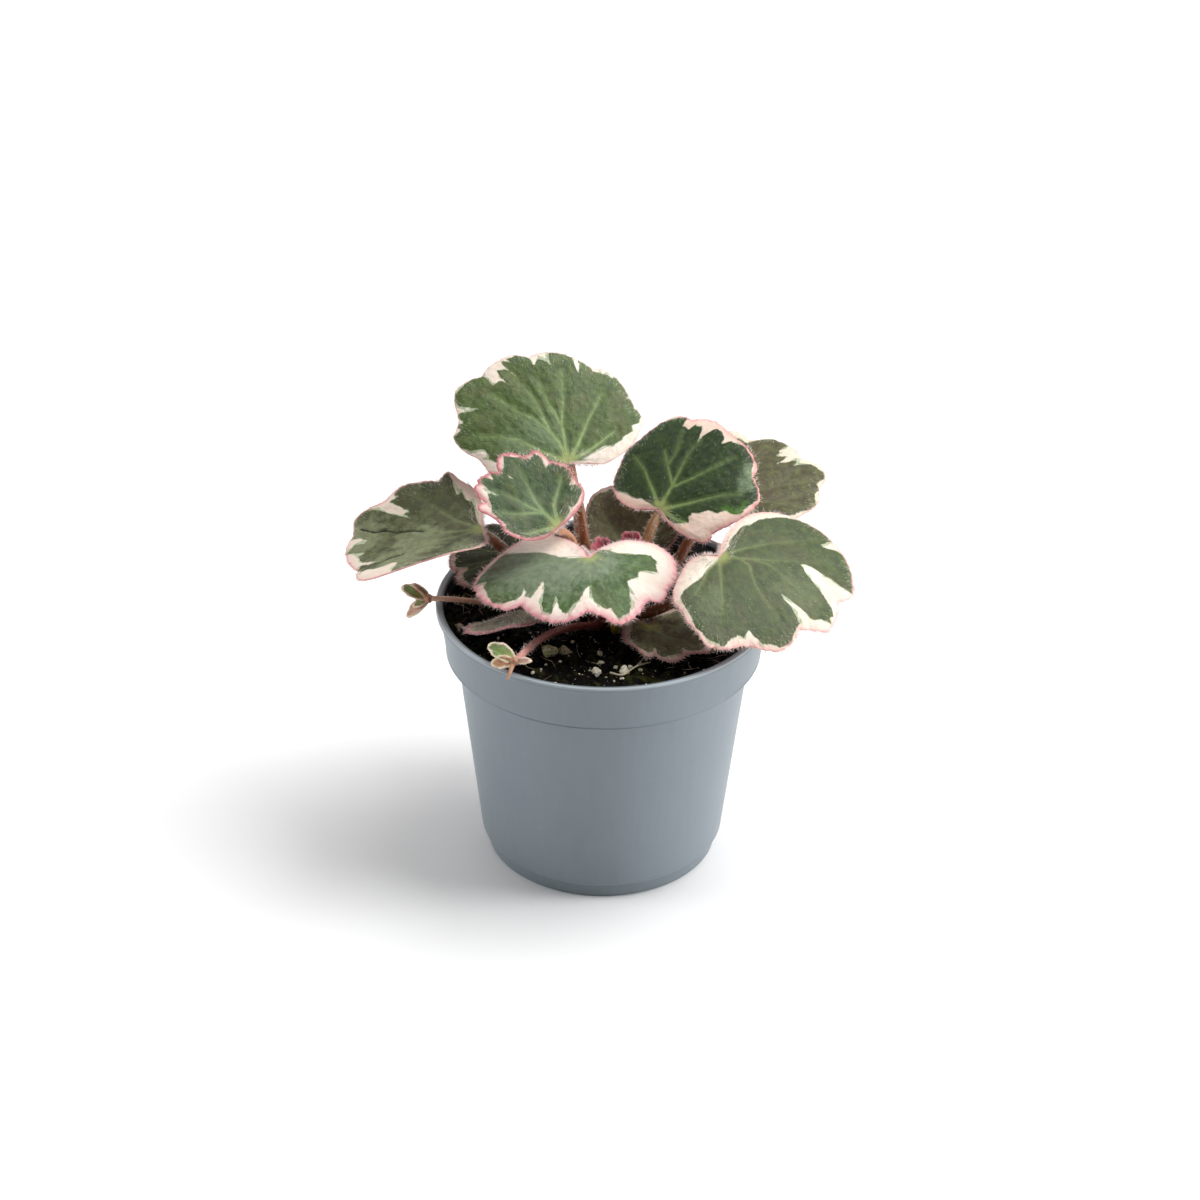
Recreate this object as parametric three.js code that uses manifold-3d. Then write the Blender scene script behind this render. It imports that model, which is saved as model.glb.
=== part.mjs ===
// Potted variegated strawberry begonia (creeping saxifrage), a rosette in an 85 mm nursery pot.
// Millimetres, +Z up. The origin is the middle of the pot's flat base, and the viewer of the
// front looks along +Y.
import * as THREE from 'three';
import * as BufferGeometryUtils from 'three/addons/utils/BufferGeometryUtils.js';
import Module from 'manifold-3d';

const wasm = await Module();
wasm.setup();

// Driving dimensions
const CLEARANCE = 0.3;
const POT = {
  segments: 48, baseRadius: 29.2, footRadius: 30, footHeight: 4.2, wallFootRadius: 31.5,
  wallFootHeight: 5.2, wallTopRadius: 37.45, shoulderHeight: 57, rimRadius: 40.1, lipRadius: 42.5,
  height: 71, wall: 1, floor: 1.2, holes: 6, holeRadius: 3, holeCircle: 20, holeSides: 12, drillLength: 6,
};
const SOIL = { level: 66.5, roughness: 0.45, rings: [38.6, 36, 32, 27.5, 22.5, 18, 14, 11.5] };
const CROWN = {
  x: 0, y: 0.4, radius: 9, top: 70.6, seat: 66.7, rootRadius: 4, rootBottom: 56, segments: 24, domeSteps: 5,
};
const BLADE = { thickness: 0.7, smallThickness: 0.6, bendLength: 25, stalkMargin: 0.3 };
const STEM = { sides: 8, step: 3.2, straightStart: 1.6 };
const INNER_RING = 3.8;
const OUTER_RING = 7.2;

const COLOURS = {
  pot: '#7f8890', peat: '#241a13', crown: '#5a2a26', stalk: '#8a5a44',
  green: '#56704a', olive: '#6b7258', brownGreen: '#5d5a48', dusk: '#5a5348', crimson: '#9c3f50',
  bud: '#a3a24a', runner: '#a8705f', plantlet: '#8d9163',
};

const radians = THREE.MathUtils.degToRad;
const degrees = THREE.MathUtils.radToDeg;

function finish(colour, roughness) {
  return new THREE.MeshStandardMaterial({ color: colour, roughness, metalness: 0 });
}

// Mulberry32: a small seeded generator, so that every build draws the same numbers.
function seededRandom(seed) {
  let state = seed;
  return () => {
    state = (state + 0x6d2b79f5) | 0;
    let mixed = Math.imul(state ^ (state >>> 15), 1 | state);
    mixed = (mixed + Math.imul(mixed ^ (mixed >>> 7), 61 | mixed)) ^ mixed;
    return ((mixed ^ (mixed >>> 14)) >>> 0) / 4294967296;
  };
}

function toSolid(geometry) {
  const bare = geometry.clone();
  bare.deleteAttribute('normal');
  bare.deleteAttribute('uv');
  const merged = BufferGeometryUtils.mergeVertices(bare, 1e-4);
  return new wasm.Manifold(new wasm.Mesh({
    numProp: 3,
    vertProperties: new Float32Array(merged.attributes.position.array),
    triVerts: new Uint32Array(merged.index.array),
  }));
}

function toGeometry(solid) {
  const mesh = solid.getMesh();
  const geometry = new THREE.BufferGeometry();
  geometry.setAttribute('position', new THREE.BufferAttribute(new Float32Array(mesh.vertProperties), 3));
  geometry.setIndex(new THREE.BufferAttribute(new Uint32Array(mesh.triVerts), 1));
  return geometry;
}

// A turned shape about the vertical axis, from [radius, height] pairs.
function turned(profile, segments) {
  const points = profile.map(([radius, height]) => new THREE.Vector2(radius, height));
  return new THREE.LatheGeometry(points, segments).rotateX(Math.PI / 2);
}

// Pot: a thin-walled injection moulding with a foot step, a shoulder ledge and a rolled lip.
function potProfile() {
  const { baseRadius, footRadius, footHeight, wallFootRadius, wallFootHeight } = POT;
  const { wallTopRadius, shoulderHeight, rimRadius, lipRadius, height, wall, floor } = POT;
  const outside = [
    [0, 0], [baseRadius, 0], [baseRadius + 0.6, 0.6], [footRadius, footHeight],
    [wallFootRadius - 0.4, footHeight + 0.2], [wallFootRadius, wallFootHeight], [wallTopRadius, shoulderHeight],
    [wallTopRadius + 0.55, shoulderHeight + 0.5], [rimRadius - 0.4, shoulderHeight + 0.5],
    [rimRadius, shoulderHeight + 0.9], [lipRadius - 0.9, height - 1.8],
  ];
  const lip = [
    [lipRadius - 0.1, height - 1.6], [lipRadius, height - 1.1], [lipRadius, height - 0.4],
    [lipRadius - 0.3, height], [lipRadius - 1, height], [lipRadius - 1.3, height - 0.3],
  ];
  const inside = [
    [rimRadius + 1, height - 2], [rimRadius - 0.9, shoulderHeight + 1.6],
    [wallTopRadius - 0.85, shoulderHeight + 1.4], [wallTopRadius - wall, shoulderHeight + 0.4],
    [wallFootRadius - wall + 0.05, wallFootHeight + 0.6], [footRadius - 0.9, footHeight + 0.4],
    [baseRadius - 0.4, 2.2], [baseRadius - 0.9, floor], [0, floor],
  ];
  return [...outside, ...lip, ...inside];
}

function potGeometry() {
  let pot = toSolid(turned(potProfile(), POT.segments));
  for (let hole = 0; hole < POT.holes; hole += 1) {
    const angle = (hole / POT.holes) * 2 * Math.PI;
    const drill = new THREE.CylinderGeometry(POT.holeRadius, POT.holeRadius, POT.drillLength, POT.holeSides);
    drill.rotateX(Math.PI / 2);
    drill.translate(POT.holeCircle * Math.cos(angle), POT.holeCircle * Math.sin(angle), 0);
    pot = pot.subtract(toSolid(drill));
  }
  return toGeometry(pot);
}

// Crown: a low dome of stalk bases on a root stock that tapers into the soil. grow widens it into
// the hole that the soil keeps for it.
function crownGeometry(grow) {
  const rise = CROWN.top - CROWN.seat;
  const profile = [
    [0, CROWN.rootBottom - grow], [CROWN.rootRadius + grow, CROWN.rootBottom - grow],
    [CROWN.radius + grow, CROWN.seat - 1.2],
  ];
  for (let step = 0; step <= CROWN.domeSteps; step += 1) {
    const angle = radians(90 * (step / CROWN.domeSteps));
    const radius = step === CROWN.domeSteps ? 0 : (CROWN.radius + grow) * Math.cos(angle);
    profile.push([radius, CROWN.seat + (rise + grow) * Math.sin(angle)]);
  }
  return turned(profile, CROWN.segments).translate(CROWN.x, CROWN.y, 0);
}

// Soil: the peat plug fills the pot to just under its rim. Its top is a rough polar sheet that is
// a little higher round the crown, and perlite lumps stand half out of it.
function soilRelief(x, y) {
  const ripple = Math.sin(0.61 * x + 1.3) * Math.cos(0.53 * y - 0.4) + 0.7 * Math.sin(0.97 * x - 0.83 * y);
  const mound = 0.7 * Math.exp(-(x * x + y * y) / 260);
  return SOIL.roughness * ripple + mound;
}

function soilGeometry() {
  const gap = CLEARANCE;
  const slope = (POT.lipRadius - 0.9 - POT.rimRadius) / (POT.height - 2.7 - POT.shoulderHeight);
  const rimInside = POT.rimRadius - 0.9 - gap;
  const top = SOIL.level;
  const edge = rimInside + slope * (top - POT.shoulderHeight - 1.9) - 0.1;
  const profile = [
    [0, POT.floor + gap], [POT.baseRadius - 1.3, POT.floor + gap], [POT.baseRadius - 0.9, 2.4],
    [POT.footRadius - 1.3, POT.footHeight + 0.6], [POT.wallFootRadius - 1.35, POT.wallFootHeight + 1],
    [POT.wallTopRadius - 1.35, POT.shoulderHeight + 0.6], [POT.wallTopRadius - 1.1, POT.shoulderHeight + 1.75],
    [rimInside, POT.shoulderHeight + 1.9], [edge, top], ...SOIL.rings.map((radius) => [radius, top]), [0, top],
  ];
  const body = turned(profile, POT.segments);
  const position = body.attributes.position;
  for (let i = 0; i < position.count; i += 1) {
    const x = position.getX(i);
    const y = position.getY(i);
    const inner = Math.hypot(x, y) < edge - 1;
    if (inner && position.getZ(i) > top - 0.1) {
      position.setZ(i, top + soilRelief(x, y));
    }
  }
  return body;
}

// Places of the perlite lumps that show at the front, then a seeded scatter for the rest.
const PERLITE_AT = [
  [-13.3, -19.5, 1.7], [-9.8, -17.1, 1.7], [-1.8, -27.3, 1.2], [5.1, -27.2, 1.2], [-36.2, -7.5, 0.8],
];
const PERLITE_SCATTERED = 11;
const PERLITE_SUNK = 0.15;

function perliteLumps() {
  const random = seededRandom(71);
  const places = [...PERLITE_AT];
  for (let lump = 0; lump < PERLITE_SCATTERED; lump += 1) {
    const angle = radians(20 + 150 * random() + (lump % 3 === 0 ? 150 : 0));
    const distance = 15 + 21 * random();
    places.push([distance * Math.cos(angle), distance * Math.sin(angle), 0.8 + 0.6 * random()]);
  }
  return places.map(([x, y, radius]) => {
    const lump = new THREE.IcosahedronGeometry(radius, 0);
    lump.scale(1, 0.85 + 0.3 * random(), 0.8);
    lump.rotateZ(6 * random());
    lump.translate(x, y, SOIL.level + soilRelief(x, y) - PERLITE_SUNK);
    return lump;
  });
}

// Outline of a blade: [angle, reach] pairs round the attachment, in degrees and millimetres. The
// angle is 0 at the tip and positive on the leaf's left. A reach below both of its neighbours is a
// notch, and is a sharp corner; every other point is passed smoothly.
function outlineSlopes(outline) {
  const last = outline.length - 1;
  return outline.map(([angle, reach], i) => {
    if (i === 0 || i === last) {
      return 'end';
    }
    const [angleBefore, before] = outline[i - 1];
    const [angleAfter, after] = outline[i + 1];
    if (reach < before && reach < after) {
      return 'notch';
    }
    const crest = reach >= before && reach >= after;
    return crest ? 0 : (after - before) / (angleAfter - angleBefore);
  });
}

function outlineReach(outline, slopes, angle) {
  let i = 0;
  while (i < outline.length - 2 && angle > outline[i + 1][0]) {
    i += 1;
  }
  const [start, reachStart] = outline[i];
  const [end, reachEnd] = outline[i + 1];
  const span = end - start;
  const chord = (reachEnd - reachStart) / span;
  const slopeAt = (kind) => {
    if (kind === 'end') {
      return chord;
    }
    return kind === 'notch' ? 1.5 * chord : kind;
  };
  const s = THREE.MathUtils.clamp((angle - start) / span, 0, 1);
  const leaving = (s ** 3 - 2 * s ** 2 + s) * span * slopeAt(slopes[i]);
  const arriving = (s ** 3 - s ** 2) * span * slopeAt(slopes[i + 1]);
  return (1 - 3 * s ** 2 + 2 * s ** 3) * reachStart + (3 * s ** 2 - 2 * s ** 3) * reachEnd + leaving + arriving;
}

// Axes of a blade: tip points along it, left across it, up out of its upper face.
function bladeAxes([azimuth, rise, roll]) {
  const tip = new THREE.Vector3(
    Math.cos(radians(azimuth)) * Math.cos(radians(rise)),
    Math.sin(radians(azimuth)) * Math.cos(radians(rise)),
    Math.sin(radians(rise)),
  );
  const level = new THREE.Vector3(-Math.sin(radians(azimuth)), Math.cos(radians(azimuth)), 0);
  const square = tip.clone().cross(level);
  const left = level.clone().multiplyScalar(Math.cos(radians(roll)));
  left.addScaledVector(square, Math.sin(radians(roll)));
  return { tip, left, up: tip.clone().cross(left) };
}

// A point of the upper face, and the same point on the lower face. The blade arches along and across
// its length by its bend, and its margin ripples a little.
function bladePoint(leaf, axes, slopes, angle, fraction) {
  const reach = fraction * outlineReach(leaf.outline, slopes, angle);
  const along = reach * Math.cos(radians(angle));
  const across = reach * Math.sin(radians(angle));
  const [bendAlong, bendAcross] = leaf.bend.map((bend) => bend / BLADE.bendLength);
  const ripple = leaf.ripple * fraction ** 3 * Math.cos(radians(leaf.ripples * angle));
  const height = bendAlong * along ** 2 + bendAcross * across ** 2 + ripple;
  const normal = axes.up.clone();
  normal.addScaledVector(axes.tip, -2 * bendAlong * along);
  normal.addScaledVector(axes.left, -2 * bendAcross * across);
  const upper = new THREE.Vector3(...leaf.at);
  upper.addScaledVector(axes.tip, along).addScaledVector(axes.left, across).addScaledVector(axes.up, height);
  const lower = upper.clone().addScaledVector(normal.normalize(), -leaf.thickness);
  return { upper, lower };
}

// The angles of the blade's rays: one at each outline point, and more on long stretches.
function rayAngles(outline, widest) {
  const angles = [];
  for (let i = 0; i < outline.length - 1; i += 1) {
    const span = outline[i + 1][0] - outline[i][0];
    const parts = Math.ceil(span / widest);
    for (let part = 0; part < parts; part += 1) {
      angles.push(outline[i][0] + (span * part) / parts);
    }
  }
  angles.push(outline[outline.length - 1][0]);
  return angles;
}

// A blade is a fan of rays from its attachment, crossed by rings, with the same triangles on both
// faces and a narrow edge all round.
function bladeGeometry(leaf) {
  const axes = bladeAxes(leaf.aim);
  const slopes = outlineSlopes(leaf.outline);
  const angles = rayAngles(leaf.outline, leaf.widestRay);
  const uppers = [];
  const lowers = [];
  const add = (angle, fraction) => {
    const { upper, lower } = bladePoint(leaf, axes, slopes, angle, fraction);
    uppers.push(upper);
    lowers.push(lower);
  };
  add(0, 0);
  leaf.rings.forEach((fraction) => angles.forEach((angle) => add(angle, fraction)));
  const rays = angles.length;
  const rings = leaf.rings.length;
  const at = (ring, ray) => (ring === 0 ? 0 : 1 + (ring - 1) * rays + ray);
  const faces = [];
  for (let ray = 0; ray < rays - 1; ray += 1) {
    faces.push([0, at(1, ray), at(1, ray + 1)]);
    for (let ring = 1; ring < rings; ring += 1) {
      faces.push([at(ring, ray), at(ring + 1, ray), at(ring + 1, ray + 1)]);
      faces.push([at(ring, ray), at(ring + 1, ray + 1), at(ring, ray + 1)]);
    }
  }
  const edge = [];
  for (let ring = 0; ring < rings; ring += 1) {
    edge.push(at(ring, 0));
  }
  for (let ray = 0; ray < rays; ray += 1) {
    edge.push(at(rings, ray));
  }
  for (let ring = rings - 1; ring > 0; ring -= 1) {
    edge.push(at(ring, rays - 1));
  }
  const under = uppers.length;
  const index = [];
  faces.forEach(([a, b, c]) => index.push(a, b, c, under + a, under + c, under + b));
  edge.forEach((from, i) => {
    const to = edge[(i + 1) % edge.length];
    index.push(from, under + from, under + to, from, under + to, to);
  });
  const geometry = new THREE.BufferGeometry().setFromPoints([...uppers, ...lowers]);
  geometry.setIndex(index);
  return geometry;
}

// A stem is a closed tube along a smooth curve, which tapers from its first point to its last.
function stemGeometry(points, radiusStart, radiusEnd) {
  const curve = new THREE.CatmullRomCurve3(points, false, 'centripetal');
  const steps = Math.max(4, Math.ceil(curve.getLength() / STEM.step));
  const frames = curve.computeFrenetFrames(steps, false);
  const vertices = [];
  for (let step = 0; step <= steps; step += 1) {
    const centre = curve.getPointAt(step / steps);
    const radius = THREE.MathUtils.lerp(radiusStart, radiusEnd, step / steps);
    for (let side = 0; side < STEM.sides; side += 1) {
      const angle = (side / STEM.sides) * 2 * Math.PI;
      const point = centre.clone().addScaledVector(frames.normals[step], radius * Math.cos(angle));
      vertices.push(point.addScaledVector(frames.binormals[step], radius * Math.sin(angle)));
    }
  }
  const index = [];
  const at = (step, side) => step * STEM.sides + (side % STEM.sides);
  for (let step = 0; step < steps; step += 1) {
    for (let side = 0; side < STEM.sides; side += 1) {
      index.push(at(step, side), at(step, side + 1), at(step + 1, side + 1));
      index.push(at(step, side), at(step + 1, side + 1), at(step + 1, side));
    }
  }
  for (let side = 1; side < STEM.sides - 1; side += 1) {
    index.push(at(0, 0), at(0, side + 1), at(0, side));
    index.push(at(steps, 0), at(steps, side), at(steps, side + 1));
  }
  const geometry = new THREE.BufferGeometry().setFromPoints(vertices);
  geometry.setIndex(index);
  return geometry;
}

// A stalk springs square from the crown's dome, at an azimuth on one of its rings.
function dome(azimuth, ring) {
  const rise = CROWN.top - CROWN.seat;
  const lift = Math.sqrt(1 - (ring / CROWN.radius) ** 2);
  const out = new THREE.Vector3(Math.cos(radians(azimuth)), Math.sin(radians(azimuth)), 0);
  const point = new THREE.Vector3(CROWN.x, CROWN.y, CROWN.seat + rise * lift).addScaledVector(out, ring);
  const normal = out.multiplyScalar(ring / CROWN.radius ** 2).add(new THREE.Vector3(0, 0, lift / rise));
  return { point, normal: normal.normalize() };
}

function stalkStart(azimuth, ring) {
  const { point, normal } = dome(azimuth, ring);
  return [
    point.clone().addScaledVector(normal, CLEARANCE),
    point.clone().addScaledVector(normal, CLEARANCE + STEM.straightStart),
  ];
}

// A stalk's top end stops just under the blade that it carries.
function petioleGeometry(leaf) {
  const [azimuth, ring] = leaf.root;
  const points = stalkStart(azimuth, ring);
  leaf.via.forEach((point) => points.push(new THREE.Vector3(...point)));
  const [radiusStart, radiusEnd] = leaf.stalk;
  const { up } = bladeAxes(leaf.aim);
  const attachment = new THREE.Vector3(...leaf.at);
  const heading = attachment.clone().sub(points[points.length - 1]).normalize();
  const overhang = radiusEnd * Math.sqrt(Math.max(0, 1 - heading.dot(up) ** 2));
  points.push(attachment.addScaledVector(up, -(leaf.thickness + CLEARANCE + BLADE.stalkMargin + overhang)));
  return stemGeometry(points, radiusStart, radiusEnd);
}

const TALL_STALK = [1.6, 1.3];
const LOW_STALK = [1.15, 0.95];

// Leaves: at is the attachment, aim its azimuth, rise and roll, root the azimuth and ring on the
// crown, via the points that its stalk passes.
const LEAVES = {
  rear_high: {
    at: [-9.1, 13, 103.5], aim: [110, 46, -4], bend: [-0.1, -0.12], root: [112, INNER_RING],
    via: [[-4.1, 6.5, 80.1], [-6.3, 11, 91.2], [-8.1, 13, 98.5]], stalk: [1.45, 1.15], colour: COLOURS.green,
    outline: [
      [-102, 8], [-71, 23], [-59, 24], [-34, 28], [-28, 27], [-1, 30.5], [6, 30], [16, 32.5], [23, 32.5],
      [30, 31.5], [42, 34], [56, 29.5], [64, 29.5], [71, 26.5], [76, 22.5], [86, 20], [103, 15], [120, 8],
    ],
  },
  mid_small: {
    at: [-11.3, -3.5, 94], aim: [155, 39, -23], bend: [0.05, 0.1], root: [172, INNER_RING],
    via: [[-6.4, 4.2, 78.3], [-8.2, 6.5, 84.3], [-10.2, 4, 88.2]], stalk: [1.3, 1.05], colour: COLOURS.green,
    outline: [
      [-97, 3], [-87, 10.5], [-76, 13], [-67, 13.5], [-53, 16.5], [-39, 17.5], [-30, 20.5], [-20, 19.5],
      [-3, 23], [5, 20.5], [20, 23.5], [25, 23.5], [31, 20], [37, 22], [40, 19], [46, 16], [57, 14.5], [87, 3.5],
    ],
  },
  right_high: {
    at: [13.8, 14, 89.7], aim: [39, 35, 13], bend: [-0.15, -0.2], root: [24, INNER_RING],
    via: [[6.8, 4.2, 77], [10.3, 7, 83.2], [12, 10.5, 86.4]], stalk: TALL_STALK, colour: COLOURS.green,
    outline: [
      [-109, 4], [-90, 15], [-76, 16], [-52, 23.5], [-43, 25.5], [-29, 25], [-24, 27], [-5, 28], [2, 28],
      [18, 30], [28, 29], [34, 30.5], [57, 24.5], [67, 23], [75, 20.5], [98, 15.5], [122, 6.5],
    ],
  },
  front: {
    at: [-3.8, -8, 88.4], aim: [-94, -6, 0], bend: [-0.25, -0.2], root: [252, INNER_RING],
    via: [[-2.4, -5.6, 78], [-3.4, -7.3, 84.5]], stalk: TALL_STALK, colour: COLOURS.green,
    outline: [
      [-150, 6], [-137, 15.5], [-102, 24], [-78, 29], [-50, 25.5], [-45, 22], [-20, 22.5], [4, 18.5],
      [14, 20], [24, 22.5], [50, 20], [59, 22.5], [69, 21.5], [100, 22], [123, 19], [131, 16], [141, 13],
      [152, 3.5],
    ],
  },
  left: {
    at: [-30.4, 0, 91.3], aim: [-172, -2, -3], bend: [-0.15, 0.4], root: [180, OUTER_RING],
    via: [[-12.5, 2, 74.3], [-19, 3.4, 78.8], [-25, 4, 82.9], [-28.1, 2.4, 86.8]],
    stalk: TALL_STALK, colour: COLOURS.olive,
    outline: [
      [-95, 10], [-88, 14.5], [-77, 17.5], [-71, 20.5], [-61, 19.5], [-52, 23], [-44, 26.5], [-34, 29],
      [-30, 32], [-24, 34.5], [-17, 33.5], [-11, 35], [9, 32.5], [17, 34], [28, 31.5], [40, 22],
      [55, 16.5], [75, 11], [92, 6],
    ],
  },
  right: {
    at: [28.4, -10, 89.9], aim: [-36, -18, 9], bend: [-0.15, -0.12], root: [-30, OUTER_RING],
    via: [[9.6, -8.6, 72.2], [17.7, -10.5, 77.1], [23.8, -10.5, 83.2]], stalk: TALL_STALK, colour: COLOURS.olive,
    outline: [
      [-139, 4], [-107, 11.5], [-90, 18], [-78, 20], [-72, 22], [-64, 24], [-56, 27], [-49, 27], [-40, 26],
      [-33, 26], [-16, 29], [-1, 27], [4, 29], [12, 32.5], [21, 32.5], [30, 32], [39, 36], [55, 35.5],
      [79, 30.5], [100, 21], [117, 4.5],
    ],
  },
  rear_right: {
    at: [33.5, 22, 88.2], aim: [42, 10, 12], bend: [-0.1, -0.1], root: [14, OUTER_RING],
    via: [[12, 5, 72.5], [18.3, 9, 76.8], [21.9, 14, 80.8], [27.6, 19, 84.5]], stalk: TALL_STALK,
    colour: COLOURS.brownGreen,
    outline: [
      [-105, 9], [-80, 14], [-58, 17], [-36, 22], [-24, 23.5], [-16, 27], [-8, 28], [4, 25.5], [14, 28.5],
      [26, 29.5], [33, 27.5], [38, 26.5], [45, 30], [58, 28], [68, 24.5], [84, 22], [100, 15], [115, 7],
    ],
  },
  rear_low: {
    at: [5.6, 10, 78.2], aim: [92, 22, 0], bend: [0, -0.1], root: [66, OUTER_RING],
    via: [[4.2, 8.6, 73.5]], stalk: LOW_STALK, colour: COLOURS.dusk,
    outline: [
      [-115, 5], [-95, 9], [-77, 11], [-65, 14.5], [-48, 20], [-40, 21.5], [-33, 20.5], [-18, 24], [-9, 24.5],
      [-2, 23], [7, 23.5], [20, 22.5], [26, 20.8], [33, 18.4], [45, 14.8], [60, 12.4], [85, 9.5], [115, 4.8],
    ],
  },
  left_low: {
    at: [-22.3, 13, 76.1], aim: [172, 0, 0], bend: [-0.1, -0.1], root: [150, OUTER_RING],
    via: [[-12, 7.6, 71.6], [-18, 11, 73.6]], stalk: LOW_STALK, colour: COLOURS.dusk,
    outline: [
      [-110, 8], [-90, 13.5], [-76, 17], [-61, 21.5], [-48, 20], [-40, 17.5], [-28, 18], [-15, 15.5],
      [2, 17.5], [19, 17.5], [27, 16], [53, 18.5], [63, 17.5], [72, 14], [84, 13], [100, 9], [115, 5],
    ],
  },
  front_right_low: {
    at: [11.6, -13, 71.8], aim: [-50, -2, 0], bend: [-0.1, -0.1], root: [302, OUTER_RING],
    via: [[6.6, -9.4, 69.6], [9.2, -11.3, 69.8]], stalk: LOW_STALK, colour: COLOURS.dusk,
    outline: [
      [-172, 3.5], [-159, 5.5], [-118, 7], [-60, 11], [-42, 13.5], [-35, 12.5], [-16, 16], [-4, 15], [5, 16],
      [15, 17.5], [23, 17.5], [40, 16], [50, 14.5], [70, 15.5], [97, 12], [121, 6.5],
    ],
  },
  front_left_low: {
    at: [-17.8, -13.6, 75.1], aim: [185, -13, 20], bend: [0, -0.1], root: [227, OUTER_RING],
    via: [[-10.8, -9.2, 72.2]], stalk: LOW_STALK, colour: COLOURS.dusk,
    outline: [
      [-118, 4.3], [-90, 7.5], [-58, 9.9], [-42, 12.2], [-34, 11.8], [-18, 16], [-6, 17.4], [2, 16.5], [12, 17.4],
      [22, 16], [33, 14.1], [40, 12.7], [60, 11.3], [90, 8.9], [118, 4.3],
    ],
  },
  rear_behind: {
    at: [-8.9, 38, 91.5], aim: [110, 12, 0], bend: [-0.2, -0.15], root: [93, OUTER_RING],
    via: [[-3.6, 10.5, 73.5], [-6.1, 15, 78.6], [-7.4, 27, 86]], stalk: [1.25, 1], colour: COLOURS.brownGreen,
    outline: [
      [-128, 5], [-105, 10], [-80, 12], [-70, 12.5], [-55, 18], [-48, 17], [-30, 22], [-22, 24], [-15, 23],
      [0, 26], [8, 25.5], [14, 24], [30, 25], [42, 22], [48, 20.5], [68, 19.5], [92, 15], [112, 11], [128, 5],
    ],
  },
  rear_right_low: {
    at: [19.5, 33, 82], aim: [70, 8, 4], bend: [-0.15, -0.15], root: [42, OUTER_RING],
    via: [[7.6, 11, 72.6], [13.5, 22, 77.5]], stalk: [1.3, 1], colour: COLOURS.dusk,
    outline: [
      [-125, 4.5], [-100, 9], [-75, 13], [-60, 15.5], [-52, 15], [-34, 20], [-24, 22], [-17, 21], [-2, 24],
      [8, 25], [15, 23.5], [32, 22], [44, 20], [52, 17], [72, 15], [98, 11], [125, 4.5],
    ],
  },
};

const LEAF_DEFAULTS = {
  thickness: BLADE.thickness, rings: [0.4, 0.75, 1], widestRay: 9, ripple: 0.35, ripples: 6,
};

// Young leaves: a folded blade and its thin stalk, grown as one piece from the crown's middle.
const YOUNG_LEAVES = {
  young_leaf_1: {
    stalk: [[-1.1, 0.6, 70.95], [-1.7, 1.2, 76], [-1.8, 2.8, 80], [-1.3, 3.7, 82.2]],
    aim: [80, 62, 25], scale: 1,
  },
  young_leaf_2: {
    stalk: [[0.7, 0.2, 71.15], [2, 1.3, 74.5], [5, 3.8, 79.4], [7.4, 5, 82.4]],
    aim: [95, 66, -20], scale: 1.2,
  },
};

const YOUNG_STALK = [0.75, 0.6];
const YOUNG_LIFT = 0.3;
const YOUNG_BLADE = {
  bend: [1.2, 6], thickness: BLADE.smallThickness, rings: [0.6, 1], ripple: 0, ripples: 0, widestRay: 30,
  outline: [
    [-105, 1.8], [-72, 2.8], [-50, 3.4], [-38, 3.1], [-16, 4.3], [0, 3.9], [16, 4.3], [38, 3.1], [50, 3.4],
    [72, 2.8], [105, 1.8],
  ],
};

function youngLeafGeometry({ stalk, aim, scale }) {
  const points = stalk.map((point) => new THREE.Vector3(...point));
  const tip = points[points.length - 1];
  const { up } = bladeAxes(aim);
  const base = tip.clone().addScaledVector(up, YOUNG_LIFT);
  const outline = YOUNG_BLADE.outline.map(([angle, reach]) => [angle, reach * scale]);
  const blade = bladeGeometry({ ...YOUNG_BLADE, at: base.toArray(), aim, outline });
  return toGeometry(toSolid(stemGeometry(points, ...YOUNG_STALK)).add(toSolid(blade)));
}

// Bud: a plump shoot low at the front, which leans a little.
const BUD = { at: [3, -10.6, 69.2], radius: 1.5, halfHeight: 2.1, lean: 20, segments: 10, bands: 6 };

function budGeometry() {
  const bud = new THREE.SphereGeometry(1, BUD.segments, BUD.bands);
  bud.rotateX(Math.PI / 2);
  bud.scale(BUD.radius, BUD.radius, BUD.halfHeight);
  bud.rotateX(radians(BUD.lean));
  bud.translate(...BUD.at);
  return bud;
}

// Runners: thin stems that leave the crown low down and lie over the soil and the rim.
const RUNNERS = {
  stolon_1: {
    root: [203, OUTER_RING],
    radii: [0.85, 0.7],
    via: [[-12, -3.9, 70.6], [-20, -4.3, 71.6], [-31, -4, 72.4], [-38.5, -3.2, 72.6], [-42.3, -2.6, 72.4]],
  },
  stolon_2: {
    root: [272, OUTER_RING],
    radii: [1.05, 0.9],
    via: [
      [-2.4, -9.9, 69.3], [-5.9, -10.8, 69.6], [-9.4, -12.3, 69.8], [-12.9, -15, 70.1], [-15.8, -18.8, 70.5],
      [-18.1, -24, 71.5], [-20.2, -30.4, 72.8], [-21.1, -33.2, 73.5],
    ],
  },
};

// Plantlets: a knot at a runner's end with a few folded leaflets round it, all one piece.
// Leaflets are [azimuth, rise, roll, length, width as a share of the full outline].
const PLANTLETS = {
  plantlet_1: {
    knot: [-44.3, -2.3, 72.3],
    leaflets: [
      [165, 28, -35, 7, 0.78], [140, 42, 20, 5.2, 0.6], [200, -12, -30, 3.8, 0.9], [205, -25, -35, 6.6, 0.65],
    ],
    root: [],
  },
  plantlet_2: {
    knot: [-21.7, -35, 74.1],
    leaflets: [[153, 30, -35, 7.4, 0.78], [190, 4, -45, 5, 0.9], [-20, 20, 40, 3.9, 0.6]],
    root: [[-22, -35.9, 73.6], [-22.6, -38.4, 73], [-23.2, -39.5, 71.8]],
  },
};

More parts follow.
